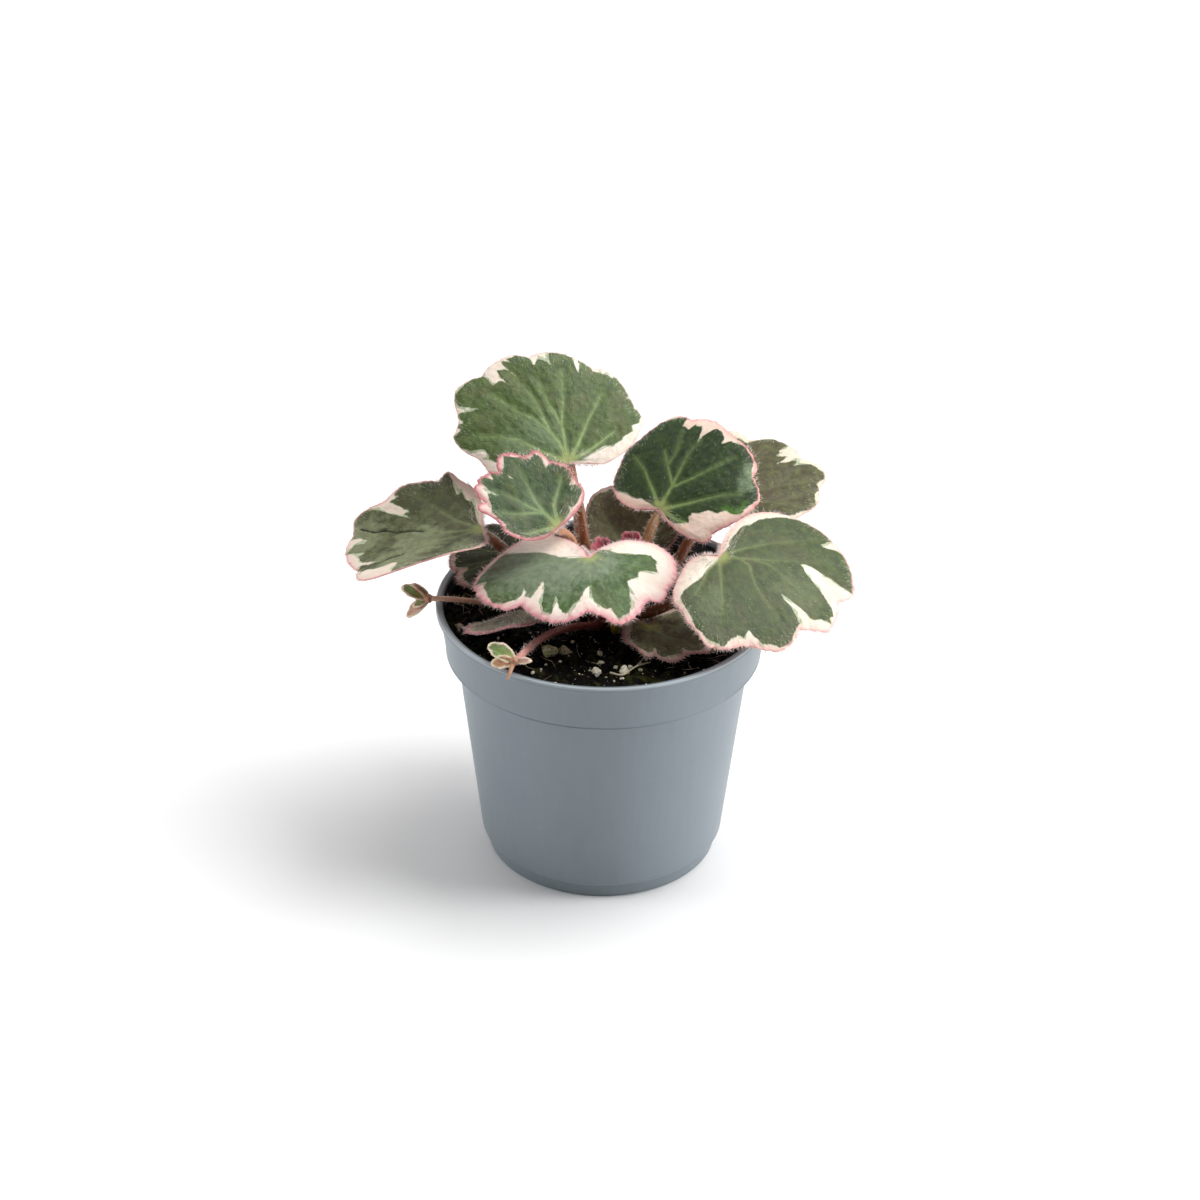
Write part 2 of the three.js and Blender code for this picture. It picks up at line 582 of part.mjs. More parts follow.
const LEAFLET = {
  bend: [-1.5, 2.5], thickness: BLADE.smallThickness, rings: [1], ripple: 0, ripples: 0, widestRay: 40,
  outline: [
    [-85, 0.16], [-60, 0.3], [-40, 0.5], [-26, 0.74], [-17, 0.8], [-10, 0.93], [0, 1], [12, 0.92], [19, 0.8],
    [28, 0.72], [40, 0.5], [60, 0.3], [85, 0.16],
  ],
};
const KNOT = { radius: 1.2, segments: 8, bands: 6 };
const PLANTLET_ROOT = [0.6, 0.35];

function plantletGeometry({ knot, leaflets, root }) {
  const middle = new THREE.Vector3(...knot);
  const ball = new THREE.SphereGeometry(KNOT.radius, KNOT.segments, KNOT.bands).translate(...knot);
  let plantlet = toSolid(ball);
  leaflets.forEach(([azimuth, rise, roll, length, width]) => {
    const aim = [azimuth, rise, roll];
    const { tip } = bladeAxes(aim);
    const at = middle.clone().addScaledVector(tip, 0.4 * KNOT.radius).toArray();
    const outline = LEAFLET.outline.map(([angle, reach]) => {
      const along = Math.cos(radians(angle));
      const across = width * Math.sin(radians(angle));
      return [degrees(Math.atan2(across, along)), length * reach * Math.hypot(along, across)];
    });
    plantlet = plantlet.add(toSolid(bladeGeometry({ ...LEAFLET, at, aim, outline })));
  });
  if (root.length > 0) {
    const points = root.map((point) => new THREE.Vector3(...point));
    plantlet = plantlet.add(toSolid(stemGeometry(points, ...PLANTLET_ROOT)));
  }
  return toGeometry(plantlet);
}

const plant = new THREE.Group();

function place(name, geometry, material) {
  const mesh = new THREE.Mesh(geometry, material);
  mesh.name = name;
  plant.add(mesh);
}

place('pot', potGeometry(), finish(COLOURS.pot, 0.55));

let soil = toSolid(soilGeometry());
perliteLumps().forEach((lump) => {
  soil = soil.add(toSolid(lump));
});
soil = soil.subtract(toSolid(crownGeometry(1.2 * CLEARANCE)));
place('soil', toGeometry(soil), finish(COLOURS.peat, 0.95));
place('crown', crownGeometry(0), finish(COLOURS.crown, 0.7));

Object.entries(LEAVES).forEach(([name, settings]) => {
  const leaf = { ...LEAF_DEFAULTS, ...settings };
  place(`leaf_${name}_blade`, bladeGeometry(leaf), finish(leaf.colour, 0.55));
  place(`leaf_${name}_petiole`, petioleGeometry(leaf), finish(COLOURS.stalk, 0.6));
});

Object.entries(YOUNG_LEAVES).forEach(([name, leaf]) => {
  place(name, youngLeafGeometry(leaf), finish(COLOURS.crimson, 0.6));
});
place('bud', budGeometry(), finish(COLOURS.bud, 0.6));

Object.entries(RUNNERS).forEach(([name, { root, via, radii }]) => {
  const points = [...stalkStart(...root), ...via.map((point) => new THREE.Vector3(...point))];
  place(name, stemGeometry(points, ...radii), finish(COLOURS.runner, 0.6));
});
Object.entries(PLANTLETS).forEach(([name, plantlet]) => {
  place(name, plantletGeometry(plantlet), finish(COLOURS.plantlet, 0.6));
});

export default plant;
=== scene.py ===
# %% [markdown]
# # Dressing a potted strawberry begonia
# The plant is a young creeping saxifrage: a rosette of round scalloped leaves on hairy stalks, with two
# thin runners that each carry a plantlet, in a small grey nursery pot. The measured model gives every
# piece its place and size. This file adds what makes it look alive: colour zones, veins, hairs, crumbs.
# Blender works in metres, but a pot plant is easier to think about in millimetres, so every size below
# is in millimetres and is turned into metres when a mesh is made.

# %% Load the measured model
import math

import bpy
import numpy as np
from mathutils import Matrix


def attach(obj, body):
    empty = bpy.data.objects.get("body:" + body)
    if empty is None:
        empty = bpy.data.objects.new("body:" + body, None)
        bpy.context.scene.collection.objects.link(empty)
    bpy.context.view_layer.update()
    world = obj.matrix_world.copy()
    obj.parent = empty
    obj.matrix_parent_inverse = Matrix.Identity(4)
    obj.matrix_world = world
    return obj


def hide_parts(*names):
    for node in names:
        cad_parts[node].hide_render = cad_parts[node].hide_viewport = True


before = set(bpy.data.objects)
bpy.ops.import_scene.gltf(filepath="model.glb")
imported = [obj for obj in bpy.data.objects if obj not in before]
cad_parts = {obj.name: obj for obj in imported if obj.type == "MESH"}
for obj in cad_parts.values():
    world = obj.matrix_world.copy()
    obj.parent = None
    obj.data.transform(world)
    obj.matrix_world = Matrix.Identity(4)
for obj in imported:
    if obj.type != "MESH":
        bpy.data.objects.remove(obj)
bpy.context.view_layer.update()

MM = 0.001

# %% [markdown]
# ## A small kit for meshes
# A piece can be made with Blender's own tools by hand, or from lists of points and faces. Leaves follow a
# formula, so lists are the better way: numpy works out thousands of points at once. A piece is a stack
# of parts, such as a blade and its hairs, and each part brings its own material. Values that a material
# needs at each point, such as the distance to the margin, travel with the mesh as named attributes.

# %% Make a piece from its parts
def part(points, groups, **values):
    """One closed surface: points in mm, (finish, faces) groups, and named values for each point."""
    return {"points": np.asarray(points, float), "groups": groups, "values": values}


def skinned(shape, finish, **values):
    """A part with one finish all over, from a shape's points and faces."""
    points, faces = shape
    return part(points, [(finish, faces)], **values)


def add_object(name, data):
    """Puts a mesh, a camera or a light into the scene."""
    thing = bpy.data.objects.new(name, data)
    bpy.context.scene.collection.objects.link(thing)
    return thing


def add_values(mesh, parts, starts):
    """Writes the parts' named values on the mesh, with zeros where a part has none of that name."""
    for key in sorted({key for p in parts for key in p["values"]}):
        like = next(p["values"][key] for p in parts if key in p["values"])
        kind, field, width = ("FLOAT_VECTOR", "vector", 3) if np.ndim(like) == 2 else ("FLOAT", "value", 1)
        whole = np.zeros((starts[-1], width))
        for p, start, end in zip(parts, starts, starts[1:]):
            if key in p["values"]:
                whole[start:end] = np.reshape(p["values"][key], (-1, width))
        mesh.attributes.new(key, kind, "POINT").data.foreach_set(field, whole.ravel())


def make_piece(name, parts, replaces=()):
    """Joins parts to one mesh, on the one body that there is, and hides the measured parts that it replaces.
    """
    mesh = bpy.data.meshes.new(name)
    points = np.concatenate([p["points"] for p in parts])
    starts = np.cumsum([0] + [len(p["points"]) for p in parts])
    faces, which, finishes = [], [], []
    for p, start in zip(parts, starts):
        for finish, group in p["groups"]:
            if finish not in finishes:
                finishes.append(finish)
            faces += [[int(corner + start) for corner in face] for face in group]
            which += [finishes.index(finish)] * len(group)
    mesh.from_pydata((points * MM).tolist(), [], faces)
    for finish in finishes:
        mesh.materials.append(finish.material)
    mesh.polygons.foreach_set("material_index", which)
    mesh.shade_smooth()
    add_values(mesh, parts, starts)
    mesh.update()
    piece = add_object(name, mesh)
    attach(piece, "root")
    if replaces:
        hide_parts(*replaces)
    print(f"{name}: {len(faces)} faces")
    return piece


# %% Helpers for lists of points
def unit(vectors):
    """Vectors made one long."""
    vectors = np.asarray(vectors, float)
    return vectors / np.linalg.norm(vectors, axis=-1, keepdims=True)


def smooth_step(value, low, high):
    """Goes smoothly from 0 to 1 while the value goes from low to high."""
    share = np.clip((np.asarray(value, float) - low) / (high - low), 0, 1)
    return share * share * (3 - 2 * share)


def distance_to_path(points, path):
    """How far each flat point is from a path of straight pieces."""
    nearest = np.full(len(points), np.inf)
    for start, end in zip(path[:-1], path[1:]):
        along = end - start
        share = np.clip((points - start) @ along / max(along @ along, 1e-12), 0, 1)
        gap = points - start - share[:, None] * along
        nearest = np.minimum(nearest, np.hypot(gap[:, 0], gap[:, 1]))
    return nearest


def ring_faces(rings, sides):
    """Faces of rings of points one after another, closed by two end points that follow the last ring."""
    end = rings * sides
    faces = []
    for side in range(sides):
        after = (side + 1) % sides
        faces.append([end, after, side])
        for low in range(0, end - sides, sides):
            high = low + sides
            faces.append([low + side, low + after, high + after, high + side])
        faces.append([end + 1, end - sides + side, end - sides + after])
    return faces


# %% [markdown]
# ## A small kit for materials
# A material is a graph of nodes. Wiring one by hand in the shader editor is slow to read back, so this
# class adds one node for each call and returns the socket to use next. All patterns are procedural:
# noise and cells for mottling, and the attributes of the mesh for zones. Numbers that are the same all
# over a surface are set on the shader itself.

# %% The finish kit
def colour(code):
    """A web colour code as the linear colour that Blender's sockets take."""
    parts = [int(code[i:i + 2], 16) / 255 for i in (1, 3, 5)]
    return [*(c / 12.92 if c <= 0.04045 else ((c + 0.055) / 1.055) ** 2.4 for c in parts), 1]


class Finish:
    """A material in the making."""

    def __init__(self, name, roughness=0.5, **constants):
        self.material = bpy.data.materials.new(name)
        self.material.use_nodes = True
        self.tree = self.material.node_tree
        self.shader = self.tree.nodes["Principled BSDF"]
        self.shader.inputs["Roughness"].default_value = roughness
        for socket, value in constants.items():
            self.shader.inputs[socket.replace("_", " ")].default_value = value

    def add(self, kind, wires, out=0, **settings):
        node = self.tree.nodes.new(kind)
        for key, value in settings.items():
            setattr(node, key, value)
        for key, value in wires.items():
            if isinstance(value, bpy.types.NodeSocket):
                self.tree.links.new(value, node.inputs[key])
            else:
                node.inputs[key].default_value = value
        return node.outputs[out]

    def place(self):
        """The point's own place on the object, in millimetres."""
        where = self.add("ShaderNodeTexCoord", {}, out="Object")
        return self.add("ShaderNodeVectorMath", {0: where, "Scale": 1 / MM}, operation="SCALE")

    def value(self, name):
        return self.add("ShaderNodeAttribute", {}, out="Fac", attribute_name=name)

    def vector(self, name):
        return self.add("ShaderNodeAttribute", {}, out="Vector", attribute_name=name)

    def noise(self, where, size, detail=3.0, roughness=0.55):
        wires = {"Vector": where, "Scale": 1 / size, "Detail": detail, "Roughness": roughness}
        return self.add("ShaderNodeTexNoise", wires)

    def patches(self, where, size, low, high, **grain):
        """A noise sharpened to patches: 0 where it is under the low level, 1 over the high one."""
        return self.step(self.noise(where, size, **grain), low, high)

    def cells(self, where, size, feature="F1"):
        return self.add("ShaderNodeTexVoronoi", {"Vector": where, "Scale": 1 / size}, feature=feature)

    def stretch(self, where, scale):
        return self.add("ShaderNodeVectorMath", {0: where, 1: scale}, operation="MULTIPLY")

    def step(self, value, low, high):
        """Goes smoothly from 0 to 1 while the value goes from low to high."""
        wires = {"Value": value, "From Min": low, "From Max": high}
        return self.add("ShaderNodeMapRange", wires, interpolation_type="SMOOTHSTEP")

    def maths(self, operation, first, second=0.0):
        return self.add("ShaderNodeMath", {0: first, 1: second}, operation=operation)

    def times(self, first, second):
        return self.maths("MULTIPLY", first, second)

    def plus(self, *values):
        """The sum of two values or more."""
        total = values[-1]
        for value in values[-2::-1]:
            total = self.maths("ADD", value, total)
        return total

    def shifted(self, noise, width):
        """A noise of 0 to 1 as a shift of half the width to either side."""
        return self.times(self.maths("SUBTRACT", noise, 0.5), width)

    def frayed(self, value, noise, width):
        """A value pushed to either side by a noise, so that the edge of its zone frays."""
        return self.plus(value, self.shifted(noise, width))

    def mix(self, amount, first, second):
        wires = {0: amount, 6: first, 7: second}
        return self.add("ShaderNodeMix", wires, out=2, data_type="RGBA")

    def over(self, skin, mask, code, amount=None):
        """The skin with one more colour over it where the mask is 1, as strong as the amount says."""
        return self.mix(mask if amount is None else self.times(mask, amount), skin, colour(code))

    def paint(self, socket):
        self.tree.links.new(socket, self.shader.inputs["Base Color"])

    def rough(self, socket):
        self.tree.links.new(socket, self.shader.inputs["Roughness"])

    def bump(self, height, depth, strength=1.0):
        """Raises the surface by a height of 0 to 1, which stands for a depth in mm."""
        wires = {"Height": height, "Distance": depth * MM, "Strength": strength}
        relief = self.add("ShaderNodeBump", wires)
        self.tree.links.new(relief, self.shader.inputs["Normal"])


def mottled(name, size, dark, light, **constants):
    """A finish of two colours in soft patches of one size."""
    f = Finish(name, **constants)
    f.paint(f.mix(f.noise(f.place(), size), colour(dark), colour(light)))
    return f


# %% [markdown]
# ## Camera, floor and light
# A product picture like this one is taken with a long lens from above, so that upright sides hardly
# converge. The pot stands on a white sweep. One big soft light high on the right, a little behind the
# plant, throws the soft shadow to the left. Two low ones at the sides draw the bright edges of the pot,
# and a dim world, brighter behind and above, fills the rest, as white studio walls do.

# %% Camera
PITCH = 30.6
LENS = 90
SENSOR = 36
CAMERA_AT = (-0.965, -654.5, 458.0)
TILT = 0.0097

camera_data = bpy.data.cameras.new("camera")
camera_data.lens = LENS
camera_data.sensor_width = SENSOR
camera_data.clip_start = 0.01
camera_data.clip_end = 20
camera = add_object("camera", camera_data)
camera.location = [v * MM for v in CAMERA_AT]
camera.rotation_mode = "ZYX"
camera.rotation_euler = (math.radians(90 - PITCH), 0, TILT)
bpy.context.scene.camera = camera

# %% Floor
FLOOR_HALF = 3.0
FLOOR_CORNERS = ((-1, -1), (1, -1), (1, 1), (-1, 1))
floor_mesh = bpy.data.meshes.new("floor")
floor_mesh.from_pydata([(x * FLOOR_HALF, y * FLOOR_HALF, 0) for x, y in FLOOR_CORNERS], [], [(0, 1, 2, 3)])
floor_mesh.materials.append(mottled("white_floor", 400, "#f4f4f4", "#f8f8f8", roughness=0.9).material)
floor = add_object("floor", floor_mesh)

# %% The white room
GLOW = 0.36
GLOW_LEAN = (0.05, 0.5, 0.15)
world = bpy.data.worlds.new("studio")
world.use_nodes = True
sky = world.node_tree
direction = sky.nodes.new("ShaderNodeTexCoord")
lean = sky.nodes.new("ShaderNodeVectorMath")
lean.operation = "DOT_PRODUCT"
lean.inputs[1].default_value = GLOW_LEAN
level = sky.nodes.new("ShaderNodeMath")
level.inputs[1].default_value = GLOW
sky.links.new(direction.outputs["Generated"], lean.inputs[0])
sky.links.new(lean.outputs["Value"], level.inputs[0])
sky.links.new(level.outputs[0], sky.nodes["Background"].inputs["Strength"])
sky.nodes["Background"].inputs["Color"].default_value = (1, 1, 1, 1)
bpy.context.scene.world = world
bpy.context.scene.view_settings.view_transform = "Standard"

# %% Three soft lights
LIGHT_AIM = (0, 0, 0.06)


def soft_light(name, at, size, power):
    """A round area light at a place in metres, turned towards the plant."""
    data = bpy.data.lights.new(name, "AREA")
    data.shape = "DISK"
    data.size = size
    data.energy = power
    light = add_object(name, data)
    light.location = at
    x, y, z = np.array(LIGHT_AIM) - np.array(at)
    light.rotation_euler = (math.atan2(math.hypot(x, y), -z), 0, math.atan2(x, -y) + math.pi)


soft_light("key", (0.9, 0.27, 1.9), 1.6, 36)
soft_light("right_side", (1.1, -0.1, 0.4), 0.6, 9)
soft_light("left_side", (-1.1, -0.05, 0.4), 0.6, 5.2)

# %% [markdown]
# ## The pot
# A nursery pot is injection moulded: a thin tapering wall, a stepped foot, a shoulder and a rolled lip.
# It is a turned shape, so one profile swept round an axis makes it, with small fillets where real
# plastic never has a knife edge. The measured pot has 48 flat sides; 200 make it round. Six drain holes
# are cut in the base with a Boolean. The plastic is satin, with a very fine grain and faint scuffs.

# %% The pot's profile
POT_PROFILE = [
    (0, 0), (29.4, 0), (29.8, 0.3), (30, 4.2), (31.1, 4.4), (31.5, 5.2), (37.45, 57), (37.7, 57.45),
    (39.8, 57.5), (40.24, 57.7), (40.26, 58), (40.12, 58.2), (41.6, 69), (41.7, 69.3), (42.45, 69.4),
    (42.6, 69.7), (42.6, 70.5), (42.45, 70.9), (42.1, 71), (41.8, 70.85), (40.95, 70.8), (40.7, 70.5),
    (40.75, 70.0), (41.05, 68.9), (39.2, 58.6), (36.6, 58.4), (36.45, 57.4), (30.55, 5.8), (29.1, 4.6),
    (28.8, 2.2), (28.3, 1.2), (0, 1.2),
]
POT_SIDES = 200
FILLET = 0.14


def rounded(profile, fillet):
    """Each corner of a profile becomes a short curve of four points."""
    corners = np.array(profile, float)
    smooth = [corners[0]]
    for before, corner, after in zip(corners[:-2], corners[1:-1], corners[2:]):
        into = before - corner
        away = after - corner
        cut_in = corner + into * min(0.42, fillet / np.hypot(*into))
        cut_out = corner + away * min(0.42, fillet / np.hypot(*away))
        for s in (0, 0.35, 0.65, 1):
            smooth.append((1 - s) ** 2 * cut_in + 2 * s * (1 - s) * corner + s * s * cut_out)
    smooth.append(corners[-1])
    return np.array(smooth)


def turned(profile, sides):
    """A profile that starts and ends on the axis, swept round it."""
    angles = np.arange(sides) * 2 * np.pi / sides
    rings = profile[1:-1]
    radius = np.repeat(rings[:, 0], sides)
    points = np.c_[
        radius * np.tile(np.cos(angles), len(rings)), radius * np.tile(np.sin(angles), len(rings)),
        np.repeat(rings[:, 1], sides)]
    points = np.vstack([points, [0, 0, profile[0, 1]], [0, 0, profile[-1, 1]]])
    return points, ring_faces(len(rings), sides)


# %% The plastic
def plastic_finish():
    """Satin plastic: painted almost black inside above the soil, a soil stain deepened by painted shade; a
    painted highlight on the outer lip top and painted shade on its inner edge.
    """
    f = Finish("pot_plastic", roughness=0.4, Specular_IOR_Level=0.5)
    where = f.place()
    grain = f.noise(where, 0.22, detail=2)
    cloud = f.noise(where, 24, detail=3)
    drawn = f.noise(f.stretch(where, (1, 1, 0.06)), 1.6, detail=4)
    scuff = f.patches(f.stretch(where, (0.4, 0.4, 1.6)), 3.2, 0.6, 0.78, detail=6, roughness=0.7)
    tint = f.mix(cloud, colour("#717c83"), colour("#7c878e"))
    tint = f.over(tint, drawn, "#8e989e", 0.25)
    tint = f.over(tint, scuff, "#a4adb3", 0.18)
    across = f.add("ShaderNodeVectorMath", {0: f.stretch(where, (1, 1, 0))}, out="Value", operation="LENGTH")
    up = f.add("ShaderNodeSeparateXYZ", {0: where}, out="Z")
    inward = f.plus(across, f.times(up, -0.183), f.shifted(grain, 0.15))
    below_lip = f.step(up, 70.0, 69.8)
    # The inside wall above the soil is painted almost black: a soil stain deepened by painted shade.
    stain_and_shade = f.times(f.times(f.step(inward, 28.85, 28.6), f.step(up, 58.2, 58.4)), below_lip)
    tint = f.over(tint, stain_and_shade, "#1d1a17", 0.93)
    on_lip = f.step(up, 70.4, 70.6)
    # Painted highlight: the outer part of the lip's top is painted paler, where the light catches it.
    lip_highlight = f.times(f.step(across, 41.5, 41.8), on_lip)
    tint = f.over(tint, lip_highlight, "#b3bbc0", 0.55)
    # Painted shade: the inner edge of the lip's top is painted darker.
    lip_inner_shade = f.times(on_lip, f.step(across, 41.6, 41.2))
    f.paint(f.over(tint, lip_inner_shade, "#474d51", 0.5))
    f.rough(f.plus(f.times(scuff, 0.14), f.times(cloud, 0.1), 0.38))
    f.bump(f.plus(grain, f.times(drawn, 0.8)), 0.03)
    return f


# %% Turn the pot and drill it
HOLES = 6
HOLE_RADIUS = 3
HOLE_CIRCLE = 20
DRILL_LENGTH = 5
pot_shape = turned(rounded(POT_PROFILE, FILLET), POT_SIDES)
pot = make_piece("pot_moulded", [skinned(pot_shape, plastic_finish())], ["pot"])
drills = []
for hole in range(HOLES):
    turn = hole * 2 * math.pi / HOLES
    bpy.ops.mesh.primitive_cylinder_add(
        vertices=36, radius=HOLE_RADIUS * MM, depth=DRILL_LENGTH * MM,
        location=(HOLE_CIRCLE * MM * math.cos(turn), HOLE_CIRCLE * MM * math.sin(turn), 0))
    drills.append(bpy.context.object)
bpy.ops.object.select_all(action="DESELECT")
for drill in drills:
    drill.select_set(True)
bpy.context.view_layer.objects.active = drills[0]
bpy.ops.object.join()
cut = pot.modifiers.new("drain_holes", "BOOLEAN")
cut.object = drills[0]
cut.solver = "EXACT"
bpy.context.view_layer.objects.active = pot
bpy.ops.object.modifier_apply(modifier=cut.name)
bpy.data.objects.remove(drills[0])
print("pot faces:", len(pot.data.polygons))

# %% [markdown]
# ## Soil
# Peat compost is black crumbs of every size, with pale perlite and fine root fibres. A flat disc with a
# bump map would give itself away at the edge of the pot, so the crumbs are real relief: thousands of
# half-sunk lumps raise a fine disc of points wherever they stand above it. The disc comes from a square
# grid folded to a circle, which keeps all its cells alike.

# %% The ground under the crumbs
SOIL_LEVEL = 66.5
SOIL_EDGE = 40.55
SOIL_CELLS = 190


def soil_relief(x, y):
    """The gentle relief of the measured soil: ripples, and a low mound round the crown."""
    ripple = np.sin(0.61 * x + 1.3) * np.cos(0.53 * y - 0.4) + 0.7 * np.sin(0.97 * x - 0.83 * y)
    return 0.45 * ripple + 0.7 * np.exp(-(x * x + y * y) / 260)


def folded_disc(cells, radius):
    """A square grid folded to a disc: squares keep their area, and the rim is a true circle."""
    side = np.linspace(-1, 1, cells + 1)
    u, v = np.meshgrid(side, side, indexing="ij")
    wide = np.abs(u) > np.abs(v)
    reach = np.where(wide, u, v)
    with np.errstate(divide="ignore", invalid="ignore"):
        turn = np.where(wide, np.pi / 4 * v / u, np.pi / 2 - np.pi / 4 * u / v)
    turn = np.nan_to_num(turn)
    return radius * reach * np.cos(turn), radius * reach * np.sin(turn)


disc_x, disc_y = folded_disc(SOIL_CELLS, SOIL_EDGE)
ground = soil_relief(disc_x, disc_y) * 0.9 - 0.35

# %% Crumbs
CRUMBS = 2600
CRUMB_REACH = 2.4
EDGE_FADE = 0.7
EDGE_DROP = 0.5
soil_draw = np.random.default_rng(5)
crumb_angle = soil_draw.uniform(0, 2 * np.pi, CRUMBS)
crumb_from = SOIL_EDGE * np.sqrt(soil_draw.uniform(0, 1, CRUMBS))
crumb_size = 0.28 + 1.25 * soil_draw.uniform(0, 1, CRUMBS) ** 3.2
crumb_stretch = soil_draw.uniform(0.6, 1.5, CRUMBS)
crumb_turn = soil_draw.uniform(0, np.pi, CRUMBS)
soil_z = ground.copy()
tone = np.zeros_like(soil_z)
for angle, away, size, stretch, turn in zip(crumb_angle, crumb_from, crumb_size, crumb_stretch, crumb_turn):
    dx = disc_x - away * math.cos(angle)
    dy = disc_y - away * math.sin(angle)
    near = (np.abs(dx) < CRUMB_REACH) & (np.abs(dy) < CRUMB_REACH)
    along = (dx[near] * math.cos(turn) + dy[near] * math.sin(turn)) / (size * stretch)
    across = (dy[near] * math.cos(turn) - dx[near] * math.sin(turn)) / (size / stretch)
    height = 1 - along ** 2 - across ** 2
    rise = np.sqrt(np.clip(height, 0, None)) * size * 0.95 - 0.25 * size
    rise = np.where(height > 0, rise, 0)
    higher = rise > soil_z[near] - ground[near]
    soil_z[near] = np.where(higher, ground[near] + rise, soil_z[near])
    tone[near] = np.where(higher, (7.13 * size) % 1, tone[near])
soil_z += soil_draw.normal(0, 0.035, soil_z.shape)
rim_fade = smooth_step(np.hypot(disc_x, disc_y), SOIL_EDGE - EDGE_FADE, SOIL_EDGE)
soil_z = SOIL_LEVEL + soil_z * (1 - rim_fade) - EDGE_DROP * rim_fade
print("soil stands between", round(soil_z.min(), 2), "and", round(soil_z.max(), 2), "mm")

# %% Close the plug of soil
PLUG = [(39.0, 59.4), (37.0, 58.8), (36.1, 57.6), (30.15, 6.2), (28.7, 4.8), (28.3, 2.4), (27.9, 1.5)]
PLUG_TONE = 0.3


def soil_mesh():
    """The crumbly disc on top, ringed down to a plug that fills the pot; also each point's tone."""
    last = SOIL_CELLS
    size = last + 1
    points = np.c_[disc_x.ravel(), disc_y.ravel(), soil_z.ravel()]
    faces = [[a, a + size, a + size + 1, a + 1]
             for i in range(last) for a in range(i * size, i * size + last)]
    edge = [i * size for i in range(last)] + [last * size + j for j in range(last)]
    edge += [i * size + last for i in range(last, 0, -1)] + list(range(last, 0, -1))
    turns = np.arctan2(points[edge, 1], points[edge, 0])
    count = len(edge)
    for radius, height in PLUG:
        below = list(range(len(points), len(points) + count))
        ring = np.c_[radius * np.cos(turns), radius * np.sin(turns), np.full(count, height)]
        points = np.vstack([points, ring])
        for k in range(count):
            after = (k + 1) % count
            faces.append([edge[k], below[k], below[after], edge[after]])
        edge = below
    points = np.vstack([points, [0, 0, PLUG[-1][1]]])
    faces += [[len(points) - 1, edge[(k + 1) % count], edge[k]] for k in range(count)]
    tones = np.concatenate([tone.ravel(), np.full(len(points) - size * size, PLUG_TONE)])
    return points, faces, tones


# %% Peat
def peat_finish():
    """Black crumbs, some brown by their tone, with dust, a breath of moss and pale specks."""
    f = Finish("peat", roughness=0.85, Specular_IOR_Level=0.1)
    where = f.place()
    speck = f.noise(where, 0.35, detail=5, roughness=0.7)
    brown = f.step(f.frayed(f.value("tone"), speck, 0.5), 0.55, 1.0)
    dust = f.patches(where, 1.4, 0.6, 0.72, detail=6, roughness=0.75)
    moss = f.patches(where, 3.6, 0.5, 0.64, detail=4, roughness=0.7)
    tint = f.mix(brown, colour("#050302"), colour("#110b06"))
    tint = f.over(tint, dust, "#45381c", 0.4)
    tint = f.over(tint, moss, "#414412", 0.5)
    f.paint(f.over(tint, f.step(speck, 0.655, 0.69), "#bdb58e"))
    f.rough(f.plus(f.times(speck, 0.5), 0.42))
    f.bump(speck, 0.25)
    return f


soil_points, soil_faces, soil_tones = soil_mesh()
soil_part = skinned((soil_points, soil_faces), peat_finish(), tone=soil_tones)
make_piece("soil_crumbs", [soil_part], ["soil"])

# %% [markdown]
# ## Perlite and fibres
# Perlite is puffed volcanic glass: white, matt and knobbly. Each lump is a ball of triangles whose points
# are pushed in and out by a few waves. The larger ones stand where the measured soil has them. Root
# fibres and slivers of bark are thin bent tubes that lie on the crumbs.

# %% Lumps
def ball(levels):
    """The points and faces of a ball of small triangles."""
    bpy.ops.mesh.primitive_ico_sphere_add(subdivisions=levels, radius=1)
    maker = bpy.context.object
    points = np.array([v.co for v in maker.data.vertices])
    faces = [list(p.vertices) for p in maker.data.polygons]
    bpy.data.objects.remove(maker)
    return points, faces


def knobbly(ball_points, draw, roughness):
    """Pushes a ball in and out by a few broad waves and many fine ones."""
    push = 0
    for spread, weight in ((2.4, 1.0), (7.0, 0.45)):
        waves = draw.normal(0, spread, (7, 3))
        phases = draw.uniform(0, 6.3, 7)
        push = push + weight * np.sin(ball_points @ waves.T + phases).mean(axis=1)
    return ball_points * (1 + roughness * push)[:, None]


def stack(shapes):
    """Several shapes of points and faces as one."""
    starts = np.cumsum([0] + [len(points) for points, _ in shapes])
    faces = [[corner + int(start) for corner in face]
             for (_, some), start in zip(shapes, starts) for face in some]
    return np.concatenate([points for points, _ in shapes]), faces


# %% Thin tubes
CURVE_STEPS = 24


def smooth_path(knots, step):
    """A centripetal curve through the knots, with points at even steps."""
    knots = np.asarray(knots, float)
    knots = np.vstack([2 * knots[0] - knots[1], knots, 2 * knots[-1] - knots[-2]])
    fine = []
    for i in range(1, len(knots) - 2):
        p0, p1, p2, p3 = knots[i - 1:i + 3]
        t1 = np.linalg.norm(p1 - p0) ** 0.5
        t2 = t1 + np.linalg.norm(p2 - p1) ** 0.5
        t3 = t2 + np.linalg.norm(p3 - p2) ** 0.5
        for t in np.linspace(t1, t2, CURVE_STEPS, endpoint=False):
            a1 = (t1 - t) / t1 * p0 + t / t1 * p1
            a2 = (t2 - t) / (t2 - t1) * p1 + (t - t1) / (t2 - t1) * p2
            a3 = (t3 - t) / (t3 - t2) * p2 + (t - t2) / (t3 - t2) * p3
            b1 = (t2 - t) / t2 * a1 + t / t2 * a2
            b2 = (t3 - t) / (t3 - t1) * a2 + (t - t1) / (t3 - t1) * a3
            fine.append((t2 - t) / (t2 - t1) * b1 + (t - t1) / (t2 - t1) * b2)
    fine.append(knots[-2])
    fine = np.array(fine)
    lengths = np.r_[0, np.cumsum(np.linalg.norm(np.diff(fine, axis=0), axis=1))]
    count = max(3, int(round(lengths[-1] / step)) + 1)
    even = np.linspace(0, lengths[-1], count)
    return np.c_[[np.interp(even, lengths, fine[:, axis]) for axis in range(3)]].T


